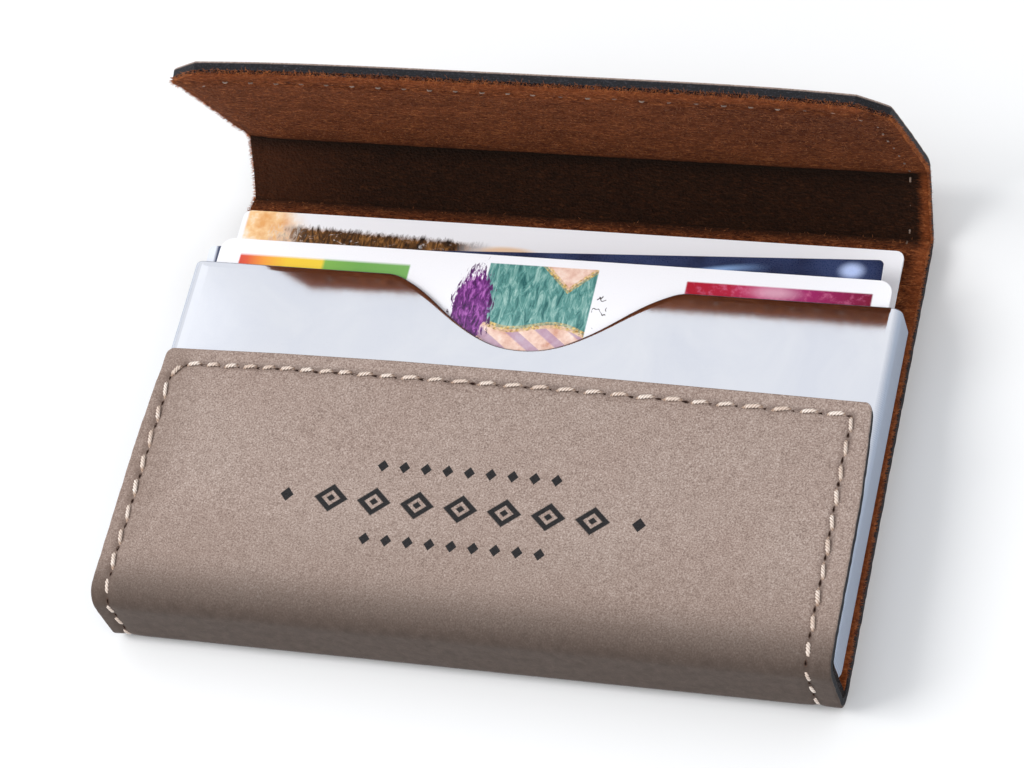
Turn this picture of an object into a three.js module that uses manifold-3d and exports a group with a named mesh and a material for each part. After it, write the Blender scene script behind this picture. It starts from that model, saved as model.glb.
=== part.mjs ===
// Business card case: a satin metal card box glued inside a leatherette wrap with a
// magnetic flap, and three business cards standing in the box.
//
// Frame (millimetres): the case lies on its back. +X runs to the right along the
// wide side, +Y runs towards the mouth of the box and the flap, +Z comes out of the
// front face. The origin is the centre of the flat outer face of the back panel.
//
// The wrap is one strip of three layers (leatherette, stiffener board, suede lining).
// It starts at the top edge of the front panel, goes down the front, under the bottom
// and up the back, then over the spine to the flap. It bends at two creases, so it is
// divided there: case, spine and flap each hold their own stretch of every layer, and
// the ends of the layers are mitred so that the fold can close.

import * as THREE from 'three';
import { mergeVertices } from 'three/addons/utils/BufferGeometryUtils.js';
import Module from 'manifold-3d';

// ---------------------------------------------------------------- dimensions
const WRAP_W = 93.5;          // width of the leatherette strip
const FRONT_TOP_W = 92.2;     // the front panel narrows a little towards its top edge
const LEATHER_T = 1.15;       // leatherette: thin coloured skin on a dark core
const GLUE = 0.05;            // glue line between two layers
const BOX_GLUE = 0.1;         // glue line between the card box and the lining

const BACK_Y0 = -34.0;        // outer face of the bottom of the wrap
const BACK_T = 3.26;          // whole back panel: leatherette + board + lining
const BOARD_BACK_T = 1.15;    // stiffener of the back panel
const BOARD_BOTTOM_T = 0.65;  // stiffener under the box
const WRAP_FOLD_R = 2.8;      // outer radius of the two folds along the bottom
const FRONT_Z = 12.0;         // outer face of the front panel
const FRONT_TOP_Y = 1.97;     // top edge of the front panel
const FRONT_CORNER_R = 1.0;   // its two top corners

const BOX_W = 92.8;           // metal card box, outside
const BOX_D = 6.94;
const BOX_H = 47.55;
const BOX_T = 0.6;            // sheet thickness
const BOX_SIDE_R = 1.5;       // upright bends
const BOX_BOTTOM_R = 1.2;     // bends along the bottom
const BOX_Z0 = 3.36;          // back of the box
const MOUTH_Y = 16.0;         // mouth of the box
const SCOOP_HALF = 19.0;      // thumb scoop, half width at the mouth
const SCOOP_DEPTH = 9.8;

const CREASE_A_Y = 31.5;      // crease between back panel and spine
const AXIS_DEPTH = 0.5;       // fold axis, half way through the leatherette
const MITRE_GAP = 0.12;       // play left at each mitred end
const SPINE_L = 10.6;         // crease to crease
const FOLD_T = 2.4;           // spine and flap: leatherette + board + lining
const FOLD_BOARD_T = 0.62;
const FLAP_L = 29.0;          // crease to free edge
const FLAP_CHAMFER = 4.0;
const SPINE_TILT = 38.0;      // open position shown: spine leans back from upright
const FLAP_LEAN = 17.2;       // and the flap leans forward from upright

const BOARD_INSET = 4.5;      // boards stay inside the seam
const MAGNET_R = 4.0;
const MAGNET_T = 0.55;
const MAGNET_X = 22.0;
const MAGNET_FROM_EDGE = 9.0;

const SEAM_SIDE = 2.4;        // seam inset from the side edges
const SEAM_SHIFT = -0.25;     // the whole seam is sewn a little to the left
const SEAM_TOP = 2.0;         // seam inset from the top edge and the free edge
const SEAM_CHAMFER = 2.4;     // and from the cut corners of the flap
const THREAD_W = 0.5;
const THREAD_T = 0.3;
const THREAD_SINK = 0.05;     // the seam is pulled just below the surface
const CHANNEL_PLAY = 0.1;

const CARD_W = 88.9;
const CARD_H = 50.8;
const CARD_T = 0.35;
const FRONT_CARD = { x: 0.5, top: MOUTH_Y - BOX_H + BOX_T + 0.26 + CARD_H, z: 9.2, r: 2.6, tilt: 0 };
const NAVY_CARD = { z: 8.8, r: 2.0, tilt: 2.8, h: 50.0 };
const TALL_CARD = { x: -0.15, top: 27.6, z: 4.05, r: 1.6, tilt: 0 };

// ---------------------------------------------------------------- solid helpers
const wasm = await Module();
wasm.setup();
const EPS = 0.02;
const rad = (d) => (d * Math.PI) / 180;

function toSolid(geometry) {
  let g = geometry.clone();
  g.deleteAttribute('normal');
  g.deleteAttribute('uv');
  // snap to 0.1 micron, so that faces meant to be flush are exactly flush
  const p = g.attributes.position.array;
  for (let i = 0; i < p.length; i++) p[i] = Math.round(p[i] * 1e4) / 1e4;
  g = mergeVertices(g, 1e-5);
  const vertProperties = new Float32Array(g.attributes.position.array);
  const triVerts = new Uint32Array(g.index.array);
  return new wasm.Manifold(new wasm.Mesh({ numProp: 3, vertProperties, triVerts }));
}

function toGeometry(solid) {
  const m = solid.getMesh();
  const n = m.vertProperties.length / m.numProp;
  const pos = new Float32Array(n * 3);
  for (let i = 0; i < n; i++)
    for (let k = 0; k < 3; k++) pos[3 * i + k] = m.vertProperties[i * m.numProp + k];
  const g = new THREE.BufferGeometry();
  g.setAttribute('position', new THREE.BufferAttribute(pos, 3));
  g.setIndex(Array.from(m.triVerts));
  g.computeVertexNormals();
  return g;
}

const cut = (a, ...bs) => toGeometry(bs.reduce((s, b) => s.subtract(toSolid(b)), toSolid(a)));
const join = (a, ...bs) => toGeometry(bs.reduce((s, b) => s.add(toSolid(b)), toSolid(a)));
const common = (a, b) => toGeometry(toSolid(a).intersect(toSolid(b)));

function boxBetween(x0, x1, y0, y1, z0, z1) {
  const g = new THREE.BoxGeometry(x1 - x0, y1 - y0, z1 - z0);
  g.translate((x0 + x1) / 2, (y0 + y1) / 2, (z0 + z1) / 2);
  return g;
}

function shapeOf(points) {
  const s = new THREE.Shape();
  points.forEach(([a, b], i) => (i ? s.lineTo(a, b) : s.moveTo(a, b)));
  s.closePath();
  return s;
}

// a profile drawn in the Y-Z plane, extruded along X from x0 to x1
function alongX(pointsYZ, x0, x1) {
  const g = new THREE.ExtrudeGeometry(shapeOf(pointsYZ), { depth: x1 - x0, bevelEnabled: false });
  // extrude runs along local Z: send (u, v, w) to (w, u, v)
  g.applyMatrix4(new THREE.Matrix4().set(0, 0, 1, x0, 1, 0, 0, 0, 0, 1, 0, 0, 0, 0, 0, 1));
  return g;
}

// an outline drawn in the X-Y plane, extruded along Z
function alongZ(pointsXY, z0, z1) {
  const g = new THREE.ExtrudeGeometry(shapeOf(pointsXY), { depth: z1 - z0, bevelEnabled: false });
  g.translate(0, 0, z0);
  return g;
}

// an outline drawn in the X-Z plane, extruded along Y
function alongY(pointsXZ, y0, y1) {
  const g = new THREE.ExtrudeGeometry(shapeOf(pointsXZ), { depth: y1 - y0, bevelEnabled: false });
  // send (u, v, w) to (u, -w, v) and shift
  g.applyMatrix4(new THREE.Matrix4().set(1, 0, 0, 0, 0, 0, -1, y1, 0, 1, 0, 0, 0, 0, 0, 1));
  return g;
}

// arc points from angle a0 to a1 (degrees) round (cx, cy)
function arc(cx, cy, r, a0, a1, n) {
  const out = [];
  for (let i = 0; i <= n; i++) {
    const a = rad(a0 + ((a1 - a0) * i) / n);
    out.push([cx + r * Math.cos(a), cy + r * Math.sin(a)]);
  }
  return out;
}

function roundedRect(x0, x1, y0, y1, r, n = 5) {
  return [
    ...arc(x1 - r, y0 + r, r, -90, 0, n),
    ...arc(x1 - r, y1 - r, r, 0, 90, n),
    ...arc(x0 + r, y1 - r, r, 90, 180, n),
    ...arc(x0 + r, y0 + r, r, 180, 270, n),
  ];
}

// ---------------------------------------------------------------- materials
const leatherette = () => new THREE.MeshStandardMaterial({ color: 0xa69489, roughness: 0.55, metalness: 0 });
const suede = () => new THREE.MeshStandardMaterial({ color: 0x6b3a22, roughness: 0.95, metalness: 0 });
const board = () => new THREE.MeshStandardMaterial({ color: 0x8d8a84, roughness: 0.9, metalness: 0 });
const satin = () => new THREE.MeshStandardMaterial({ color: 0xd9dce4, roughness: 0.25, metalness: 1 });
const nickel = () => new THREE.MeshStandardMaterial({ color: 0xb9b9bb, roughness: 0.3, metalness: 1 });
const thread = () => new THREE.MeshStandardMaterial({ color: 0xe3c9ae, roughness: 0.7, metalness: 0 });
const card = (color) => new THREE.MeshStandardMaterial({ color, roughness: 0.4, metalness: 0 });

function mesh(name, geometry, material) {
  const m = new THREE.Mesh(geometry, material);
  m.name = name;
  return m;
}

// ---------------------------------------------------------------- wrap round the box
const HW = WRAP_W / 2;
const AX_A = [CREASE_A_Y, AXIS_DEPTH];

// A strip of the wrap between two depths below its outer face, as a Y-Z profile:
// from the top edge of the front panel, round the bottom, to a mitred end at crease A.
function wrapBand(d0, d1, frontTop, n = 6) {
  const fold = (d) => {
    const r = Math.max(WRAP_FOLD_R - d, 0.25);
    const y = BACK_Y0 + d;
    return { r, y, front: FRONT_Z - d, back: d };
  };
  const end = (d) => [CREASE_A_Y - MITRE_GAP - Math.max(0, d - AXIS_DEPTH), d];
  const a = fold(d0);
  const b = fold(d1);
  const outer = [
    [frontTop, a.front],
    ...arc(a.y + a.r, a.front - a.r, a.r, 90, 180, n),
    ...arc(a.y + a.r, a.back + a.r, a.r, 180, 270, n),
    end(d0),
  ];
  const mid = d0 < AXIS_DEPTH && d1 > AXIS_DEPTH ? [end(AXIS_DEPTH)] : [];
  const inner = [
    end(d1),
    ...arc(b.y + b.r, b.back + b.r, b.r, 270, 180, n),
    ...arc(b.y + b.r, b.front - b.r, b.r, 180, 90, n),
    [frontTop, b.front],
  ];
  return [...outer, ...mid, ...inner];
}

// outline of the front panel's top corners, used to round them
const FTW = FRONT_TOP_W / 2;
const FRONT_TAPER = 0.05;     // half width gained per mm below the top corners
const frontLow = FTW + FRONT_TAPER * (FRONT_TOP_Y - FRONT_CORNER_R - (BACK_Y0 - 1));
const frontOutline = alongZ(
  [
    [-frontLow, BACK_Y0 - 1],
    [frontLow, BACK_Y0 - 1],
    ...arc(FTW - FRONT_CORNER_R, FRONT_TOP_Y - FRONT_CORNER_R, FRONT_CORNER_R, 0, 90, 4),
    ...arc(-FTW + FRONT_CORNER_R, FRONT_TOP_Y - FRONT_CORNER_R, FRONT_CORNER_R, 90, 180, 4),
  ],
  FRONT_Z - 5,
  FRONT_Z + 1,
);
const backOutline = boxBetween(-HW - 1, HW + 1, BACK_Y0 - 1, CREASE_A_Y + 1, -1, FRONT_Z - 5);
const keepOutline = join(frontOutline, backOutline);

// the seam: one thread round the front panel, under the bottom and up the back
const seamX = HW - SEAM_SIDE;
const seamL = -seamX + SEAM_SHIFT;
const seamR = seamX + SEAM_SHIFT;
function caseSeam(play) {
  const d0 = play ? -0.5 : THREAD_SINK;
  const d1 = THREAD_SINK + THREAD_T + play;
  const w = THREAD_W / 2 + play;
  const yTop = FRONT_TOP_Y - SEAM_TOP;
  const r0 = WRAP_FOLD_R - d0;
  const r1 = WRAP_FOLD_R - d1;
  const yEnd = play ? CREASE_A_Y + 1 : CREASE_A_Y - MITRE_GAP - 0.15;
  const profile = [
    [yTop + w, FRONT_Z - d0],
    ...arc(BACK_Y0 + WRAP_FOLD_R, FRONT_Z - WRAP_FOLD_R, r0, 90, 180, 6),
    ...arc(BACK_Y0 + WRAP_FOLD_R, WRAP_FOLD_R, r0, 180, 270, 6),
    [yEnd, d0],
    [yEnd, d1],
    ...arc(BACK_Y0 + WRAP_FOLD_R, WRAP_FOLD_R, r1, 270, 180, 6),
    ...arc(BACK_Y0 + WRAP_FOLD_R, FRONT_Z - WRAP_FOLD_R, r1, 180, 90, 6),
    [yTop + w, FRONT_Z - d1],
  ];
  // everything between the two side seams, below the top seam and all over the back
  const between = [
    [BACK_Y0 - 5, -5], [CREASE_A_Y + 5, -5], [CREASE_A_Y + 5, FRONT_Z - 5],
    [yTop - w, FRONT_Z - 5], [yTop - w, FRONT_Z + 5], [BACK_Y0 - 5, FRONT_Z + 5],
  ];
  return cut(alongX(profile, seamL - w, seamR + w), alongX(between, seamL + w, seamR - w));
}

const caseLeather = cut(
  common(alongX(wrapBand(0, LEATHER_T, FRONT_TOP_Y), -HW, HW), keepOutline),
  caseSeam(CHANNEL_PLAY),
);

// boards of the case: one under the back panel, one under the bottom
const boardX = HW - BOARD_INSET;
const backBoardBox = (p) =>
  boxBetween(-boardX - p, boardX + p, BACK_Y0 + WRAP_FOLD_R + 0.6 - p, CREASE_A_Y - 4.2 + p,
    LEATHER_T + GLUE + (p ? -0.5 : 0.02), LEATHER_T + GLUE + 0.02 + BOARD_BACK_T + (p ? GLUE : 0));
const bottomBoardBox = (p) =>
  boxBetween(-boardX - p, boardX + p,
    BACK_Y0 + LEATHER_T + GLUE + (p ? -0.5 : 0.02), BACK_Y0 + LEATHER_T + GLUE + 0.02 + BOARD_BOTTOM_T + (p ? GLUE : 0),
    WRAP_FOLD_R + 0.2 - p, FRONT_Z - WRAP_FOLD_R + p);

// lining of the case: fills from the leatherette to the card box, with a pocket for each board
const liningFront = FRONT_Z - LEATHER_T - GLUE;
const boxFrontZ = BOX_Z0 + BOX_D;
const boxBottomY = MOUTH_Y - BOX_H;
const lin = LEATHER_T + GLUE;
const linR = WRAP_FOLD_R - lin;
const liningProfile = [
  [FRONT_TOP_Y, liningFront],
  ...arc(BACK_Y0 + WRAP_FOLD_R, FRONT_Z - WRAP_FOLD_R, linR, 90, 180, 6),
  ...arc(BACK_Y0 + WRAP_FOLD_R, WRAP_FOLD_R, linR, 180, 270, 6),
  [CREASE_A_Y - MITRE_GAP - (lin - AXIS_DEPTH), lin],
  [CREASE_A_Y - MITRE_GAP - (BACK_T - AXIS_DEPTH), BACK_T],
  ...arc(boxBottomY - BOX_GLUE + 0.7, BACK_T + 0.7, 0.7, 270, 180, 3),
  ...arc(boxBottomY - BOX_GLUE + 0.7, boxFrontZ + BOX_GLUE - 0.7, 0.7, 180, 90, 3),
  [FRONT_TOP_Y, boxFrontZ + BOX_GLUE],
];
const caseLining = cut(
  common(alongX(liningProfile, -HW, HW), keepOutline),
  backBoardBox(CHANNEL_PLAY),
  bottomBoardBox(CHANNEL_PLAY),
);

// ---------------------------------------------------------------- card box
function shell(inset) {
  const x = BOX_W / 2 - inset;
  const rs = Math.max(BOX_SIDE_R - inset, 0.3);
  const rb = Math.max(BOX_BOTTOM_R - inset, 0.3);
  const y1 = MOUTH_Y + (inset ? 2 : 0);
  const z0 = BOX_Z0 + inset;
  const z1 = boxFrontZ - inset;
  const plan = alongY(roundedRect(-x, x, z0, z1, rs, 5), boxBottomY + inset, y1);
  const side = alongX(
    [
      ...arc(boxBottomY + inset + rb, z0 + rb, rb, 180, 270, 4),
      [y1 + 0.5, z0],
      [y1 + 0.5, z1],
      ...arc(boxBottomY + inset + rb, z1 - rb, rb, 90, 180, 4),
    ],
    -BOX_W,
    BOX_W,
  );
  return common(plan, side);
}
// bell-shaped thumb scoop through the front wall: flat shoulders run into a round bottom
const scoopDrop = [
  [0, 9.8], [1.5, 9.72], [3, 9.48], [4.5, 9.02], [6, 8.36], [7.5, 7.5], [9, 6.52], [10.5, 5.42],
  [12, 4.22], [13.2, 3.26], [14.4, 2.38], [15.6, 1.6], [16.8, 0.94], [17.9, 0.42], [18.6, 0.14], [SCOOP_HALF, 0],
];
const scoopScale = SCOOP_DEPTH / scoopDrop[0][1];
const scoopLine = [
  ...scoopDrop.slice().reverse().map(([x, d]) => [-x, MOUTH_Y - d * scoopScale]),
  ...scoopDrop.slice(1).map(([x, d]) => [x, MOUTH_Y - d * scoopScale]),
];
const scoop = alongZ(
  [...scoopLine, [SCOOP_HALF, MOUTH_Y + 1], [-SCOOP_HALF, MOUTH_Y + 1]],
  boxFrontZ - BOX_T - 1.0,
  boxFrontZ + 1,
);
const cardBox = cut(shell(0), shell(BOX_T), scoop);

// ---------------------------------------------------------------- cards
function cardPlate(spec) {
  const h = (spec.h ?? CARD_H) / 2;
  const g = alongZ(roundedRect(-CARD_W / 2, CARD_W / 2, -h, h, spec.r, 5), 0, CARD_T);
  const m = new THREE.Object3D();
  m.rotation.z = rad(spec.tilt);
  m.position.set(spec.x, spec.y, spec.z);
  return [g, m];
}
function placeCard(name, spec, color) {
  const [g, m] = cardPlate(spec);
  const c = mesh(name, g, card(color));
  c.position.copy(m.position);
  c.rotation.copy(m.rotation);
  return c;
}
const front = { ...FRONT_CARD, y: FRONT_CARD.top - CARD_H / 2 };
const tall = { ...TALL_CARD, y: TALL_CARD.top - CARD_H / 2 };
// the navy card is tilted until it bears on the floor and both side walls of the box
const t = rad(NAVY_CARD.tilt);
const navyHalfH = (NAVY_CARD.h / 2) * Math.cos(t) + (CARD_W / 2) * Math.sin(t) - NAVY_CARD.r * (Math.cos(t) + Math.sin(t) - 1);
const navy = { ...NAVY_CARD, x: -0.05, y: boxBottomY + BOX_T + 0.06 + navyHalfH };

// ---------------------------------------------------------------- spine and flap
// Local frame of a folding piece: Z runs away from the fold axis, Y is outward, and the
// outer face is at Y = AXIS_DEPTH. Depth d is measured inward from the outer face.
const yAt = (d) => AXIS_DEPTH - d;
const mitre = (d) => MITRE_GAP + Math.max(0, d - AXIS_DEPTH);

// profile of a layer between depths d0 and d1, mitred at the start and, if asked, at the end
function foldLayer(d0, d1, length, endMitre) {
  const s0 = (d) => mitre(d);
  const s1 = (d) => length - (endMitre ? mitre(d) : 0);
  const ds = [d0, ...(d0 < AXIS_DEPTH && d1 > AXIS_DEPTH ? [AXIS_DEPTH] : []), d1];
  const pts = [
    ...ds.map((d) => [yAt(d), s0(d)]),
    ...ds.slice().reverse().map((d) => [yAt(d), s1(d)]),
  ];
  return alongX(pts, -HW, HW);
}

const lining0 = LEATHER_T + GLUE;
const foldBoardD0 = lining0 + 0.02;
const foldBoardD1 = foldBoardD0 + FOLD_BOARD_T;

// spine
const spineSeam = (side, play) => {
  const w = THREAD_W / 2 + play;
  const d0 = play ? -0.5 : THREAD_SINK;
  const d1 = THREAD_SINK + THREAD_T + play;
  const s0 = play ? -1 : MITRE_GAP + 0.15;
  const s1 = play ? SPINE_L + 1 : SPINE_L - MITRE_GAP - 0.15;
  const x = side < 0 ? seamL : seamR;
  return boxBetween(x - w, x + w, yAt(d1), yAt(d0), s0, s1);
};
const spineLeather = cut(foldLayer(0, LEATHER_T, SPINE_L, true), spineSeam(-1, CHANNEL_PLAY), spineSeam(1, CHANNEL_PLAY));
const spineBoardBox = (p) =>
  boxBetween(-boardX - p, boardX + p, yAt(foldBoardD1) - (p ? GLUE : 0), yAt(foldBoardD0) + (p ? 0.5 : 0), 2.2 - p, SPINE_L - 2.2 + p);
const spineLining = cut(foldLayer(lining0, FOLD_T, SPINE_L, true), spineBoardBox(CHANNEL_PLAY));

// flap: outlines in the X-s plane, turned so that s becomes local Z and thickness runs along Y
function flapOutline(half, s0, s1, chamfer) {
  return [[-half, s0], [half, s0], [half, s1 - chamfer], [half - chamfer, s1], [-half + chamfer, s1], [-half, s1 - chamfer]];
}
function plateXs(outline, d0, d1) {
  const g = new THREE.ExtrudeGeometry(shapeOf(outline), { depth: d1 - d0, bevelEnabled: false });
  // send (u, v, w) to (u, yAt(d0) - w, v)
  g.applyMatrix4(new THREE.Matrix4().set(1, 0, 0, 0, 0, 0, -1, yAt(d0), 0, 1, 0, 0, 0, 0, 0, 1));
  return g;
}
const flapKeep = plateXs(flapOutline(HW, -5, FLAP_L, FLAP_CHAMFER), -1, FOLD_T + 1);
function seamStrip(play) {
  const w = THREAD_W / 2 + play;
  const d0 = play ? -0.5 : THREAD_SINK;
  const d1 = THREAD_SINK + THREAD_T + play;
  const s0 = play ? -1 : MITRE_GAP + 0.15;
  const line = (o) => {
    // offset o outward from the seam line
    const half = seamX + o;
    const s1 = FLAP_L - SEAM_TOP + o;
    const c = FLAP_CHAMFER - (SEAM_SIDE + SEAM_TOP - SEAM_CHAMFER * Math.SQRT2) + o * (2 - Math.SQRT2);
    return { half, s1, c };
  };
  const a = line(w);
  const b = line(-w);
  const outline = [
    [a.half, s0], [a.half, a.s1 - a.c], [a.half - a.c, a.s1], [-a.half + a.c, a.s1], [-a.half, a.s1 - a.c], [-a.half, s0],
    [-b.half, s0], [-b.half, b.s1 - b.c], [-b.half + b.c, b.s1], [b.half - b.c, b.s1], [b.half, b.s1 - b.c], [b.half, s0],
  ];
  return plateXs(outline.map(([x, s]) => [x + SEAM_SHIFT, s]), d0, d1);
}
const flapLeather = cut(common(foldLayer(0, LEATHER_T, FLAP_L, false), flapKeep), seamStrip(CHANNEL_PLAY));
const flapBoardPlate = (p) =>
  plateXs(flapOutline(boardX + p, 2.4 - p, FLAP_L - BOARD_INSET + p, FLAP_CHAMFER - 1 + p * 0.6), p ? 0.4 : foldBoardD0, foldBoardD1 + (p ? GLUE : 0));
const magnetDisc = (x, r, d0, d1) => {
  const g = new THREE.CylinderGeometry(r, r, d1 - d0, 28);
  g.translate(x, yAt((d0 + d1) / 2), FLAP_L - MAGNET_FROM_EDGE);
  return g;
};
const flapLining = cut(common(foldLayer(lining0, FOLD_T, FLAP_L, false), flapKeep), flapBoardPlate(CHANNEL_PLAY));
const flapBoard = cut(
  flapBoardPlate(0),
  magnetDisc(-MAGNET_X, MAGNET_R + 0.1, 0, 3),
  magnetDisc(MAGNET_X, MAGNET_R + 0.1, 0, 3),
);
const magD0 = foldBoardD0 + 0.05;

// ---------------------------------------------------------------- assembly
const cardCase = new THREE.Group();
cardCase.add(
  mesh('case_leather', caseLeather, leatherette()),
  mesh('case_lining', caseLining, suede()),
  mesh('back_board', backBoardBox(0), board()),
  mesh('bottom_board', bottomBoardBox(0), board()),
  mesh('case_thread', caseSeam(0), thread()),
  mesh('card_box', cardBox, satin()),
  placeCard('front_card', front, 0xf2f2f4),
  placeCard('navy_card', navy, 0x2e3a5c),
  placeCard('tall_card', tall, 0xefeef2),
);

const spine = new THREE.Group();
spine.position.set(0, AX_A[0], AX_A[1]);
spine.rotation.x = -rad(SPINE_TILT);
spine.add(
  mesh('spine_leather', spineLeather, leatherette()),
  mesh('spine_board', spineBoardBox(0), board()),
  mesh('spine_lining', spineLining, suede()),
  mesh('spine_thread_left', spineSeam(-1, 0), thread()),
  mesh('spine_thread_right', spineSeam(1, 0), thread()),
);

const flap = new THREE.Group();
flap.position.set(0, 0, SPINE_L);
flap.rotation.x = rad(SPINE_TILT + FLAP_LEAN);
flap.add(
  mesh('flap_leather', flapLeather, leatherette()),
  mesh('flap_board', flapBoard, board()),
  mesh('flap_lining', flapLining, suede()),
  mesh('flap_thread', seamStrip(0), thread()),
  mesh('magnet_left', magnetDisc(-MAGNET_X, MAGNET_R, magD0, magD0 + MAGNET_T), nickel()),
  mesh('magnet_right', magnetDisc(MAGNET_X, MAGNET_R, magD0, magD0 + MAGNET_T), nickel()),
);
spine.add(flap);
cardCase.add(spine);

export default cardCase;
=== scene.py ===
import math

import bpy
import numpy as np
from mathutils import Matrix, Vector


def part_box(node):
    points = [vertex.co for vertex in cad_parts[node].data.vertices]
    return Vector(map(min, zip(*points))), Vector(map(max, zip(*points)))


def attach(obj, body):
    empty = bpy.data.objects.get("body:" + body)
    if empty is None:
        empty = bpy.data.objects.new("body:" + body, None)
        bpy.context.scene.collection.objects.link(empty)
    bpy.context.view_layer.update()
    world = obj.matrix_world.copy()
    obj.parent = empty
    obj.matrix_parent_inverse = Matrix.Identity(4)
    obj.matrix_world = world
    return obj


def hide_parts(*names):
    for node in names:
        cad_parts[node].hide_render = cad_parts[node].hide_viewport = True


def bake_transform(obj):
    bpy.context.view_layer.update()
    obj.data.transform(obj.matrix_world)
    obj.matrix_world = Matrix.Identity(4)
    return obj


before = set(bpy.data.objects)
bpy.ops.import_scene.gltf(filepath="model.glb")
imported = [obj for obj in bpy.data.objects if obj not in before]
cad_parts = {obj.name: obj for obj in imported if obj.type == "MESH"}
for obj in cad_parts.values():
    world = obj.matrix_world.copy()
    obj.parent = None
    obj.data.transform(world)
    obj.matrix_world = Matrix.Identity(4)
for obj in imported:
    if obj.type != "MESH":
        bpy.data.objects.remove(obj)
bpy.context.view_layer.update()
RNG = np.random.default_rng(7)

# ------------------------------------------------------------------ sizes, mm, as in the CAD
MM = 0.001
HW = 46.75
LEATHER_T, AX = 1.15, 0.5
BACK_Y0, BACK_T, FRONT_Z, FRONT_TOP_Y = -34.0, 3.26, 12.0, 1.97
FOLD_R = 2.8
BOX_W, BOX_D, BOX_T, BOX_BOTTOM_Y, MOUTH_Y, BOX_Z0 = 93.5, 6.94, 0.6, -31.55, 16.0, 3.36
BOX_SIDE_R, BOX_BOTTOM_R = 1.5, 1.2
AY, AZ = 31.5, 0.5
BY, BZ = 38.026, 8.853
TILT, LEAN = math.radians(38.0), math.radians(17.2)
FLAP_L, FOLD_T, CHAMFER = 28.8, 2.4, 4.0
CREASE_R = 2.0                      # the strip really turns on a small radius
SEAM_L, SEAM_R = -44.62, 44.08
SEAM_TOP = 1.85
PITCH = 3.4


# ------------------------------------------------------------------ the strip's centreline in Y-Z
def fillet(p, c, q, r, n=14):
    p, c, q = map(np.array, (p, c, q))
    a, b = (p - c) / np.linalg.norm(p - c), (q - c) / np.linalg.norm(q - c)
    half = math.acos(float(np.clip(a @ b, -1, 1))) / 2
    t = r / math.tan(half)
    s, e = c + a * t, c + b * t
    m = c + (a + b) / np.linalg.norm(a + b) * (r / math.sin(half))
    a0, a1 = math.atan2(*(s - m)[::-1]), math.atan2(*(e - m)[::-1])
    d = (a1 - a0 + math.pi) % (2 * math.pi) - math.pi
    return [m + r * np.array([math.cos(a0 + d * k / n), math.sin(a0 + d * k / n)]) for k in range(n + 1)]


def arc(cy, cz, r, a0, a1, n=14):
    return [np.array([cy + r * math.cos(math.radians(a0 + (a1 - a0) * k / n)), cz + r * math.sin(math.radians(a0 + (a1 - a0) * k / n))]) for k in range(n + 1)]


TIP = (BY - FLAP_L * math.sin(LEAN), BZ + FLAP_L * math.cos(LEAN))
line = [np.array([FRONT_TOP_Y, FRONT_Z - AX])]
line += arc(BACK_Y0 + FOLD_R, FRONT_Z - FOLD_R, FOLD_R - AX, 90, 180)
line += arc(BACK_Y0 + FOLD_R, FOLD_R, FOLD_R - AX, 180, 270)
crease_a = fillet((0, AZ), (AY, AZ), (BY, BZ), CREASE_R)
crease_b = fillet((AY, AZ), (BY, BZ), TIP, CREASE_R)
line += crease_a + crease_b + [np.array(TIP)]
line = np.array(line)
seg = np.linalg.norm(np.diff(line, axis=0), axis=1)
knots = np.concatenate([[0], np.cumsum(seg)])
U_END = float(knots[-1])
uu = np.linspace(0, U_END, 4001)
cy, cz = np.interp(uu, knots, line[:, 0]), np.interp(uu, knots, line[:, 1])
ty, tz = np.gradient(cy, uu), np.gradient(cz, uu)
for _ in range(12):  # smooth the turn a little, so that bends have no facets
    ty = np.convolve(np.pad(ty, 2, mode="edge"), np.ones(5) / 5, "valid")
    tz = np.convolve(np.pad(tz, 2, mode="edge"), np.ones(5) / 5, "valid")
tl = np.hypot(ty, tz)
ty, tz = ty / tl, tz / tl
ny, nz = tz, -ty                    # outward normal: tangent -Y at the front gives +Z
if nz[0] < 0:
    ny, nz = -ny, -nz

n_front = 1 + 15 + 15
U_A = float(knots[n_front + 7])     # middle of crease A
U_B = float(knots[n_front + 15 + 7])
U_SPLIT = (U_A + U_B) / 2
U_BACK0 = float(knots[n_front - 1])  # where the back starts to run straight
U_FOLD1 = float(knots[1])


def u_back(y):
    return U_BACK0 + (y - (BACK_Y0 + FOLD_R))


def smooth(x, a, b):
    t = np.clip((np.asarray(x, float) - a) / (b - a), 0, 1)
    return t * t * (3 - 2 * t)


def place(u, v, d):
    """The point at u along the strip, v across it and d below its outer face, in mm."""
    # the flap's free corners lean in a little
    d = d + 0.75 * np.clip((u - U_B) / (U_END - U_B), 0, 1) ** 2 * np.clip(np.abs(v) / 46.0, 0, 1) ** 4
    y = np.interp(u, uu, cy) + np.interp(u, uu, ny) * (AX - d)
    # the front panel's top edge bows up a little in the middle
    y = y + np.interp(v, [-46, -30, -15, 3, 22, 45], [0, 0.42, 0.58, 0.5, 0.2, -0.2]) * (1 - smooth(u, 0.0, 14.0))
    z = np.interp(u, uu, cz) + np.interp(u, uu, nz) * (AX - d)
    return np.stack([np.broadcast_to(v, np.shape(y)), y, z], -1)


# ------------------------------------------------------------------ outline of the strip
def bumpy(a, b, c):
    """Cheap smooth noise of three coordinates in about -1..1, the same each run."""
    r = np.zeros(np.broadcast(a, b, c).shape)
    for k, (p, q, s, w) in enumerate([(1.0, 0.7, 0.4, 1.0), (-0.6, 1.1, 0.8, 0.8), (1.7, -1.3, 0.6, 0.55), (2.3, 1.9, -1.1, 0.4), (-3.1, 2.7, 1.9, 0.25)]):
        r = r + w * np.sin(p * a + q * b + s * c + 1.7 * k + 0.6 * np.sin(q * a - p * b))
    return r / 3.0


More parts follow.
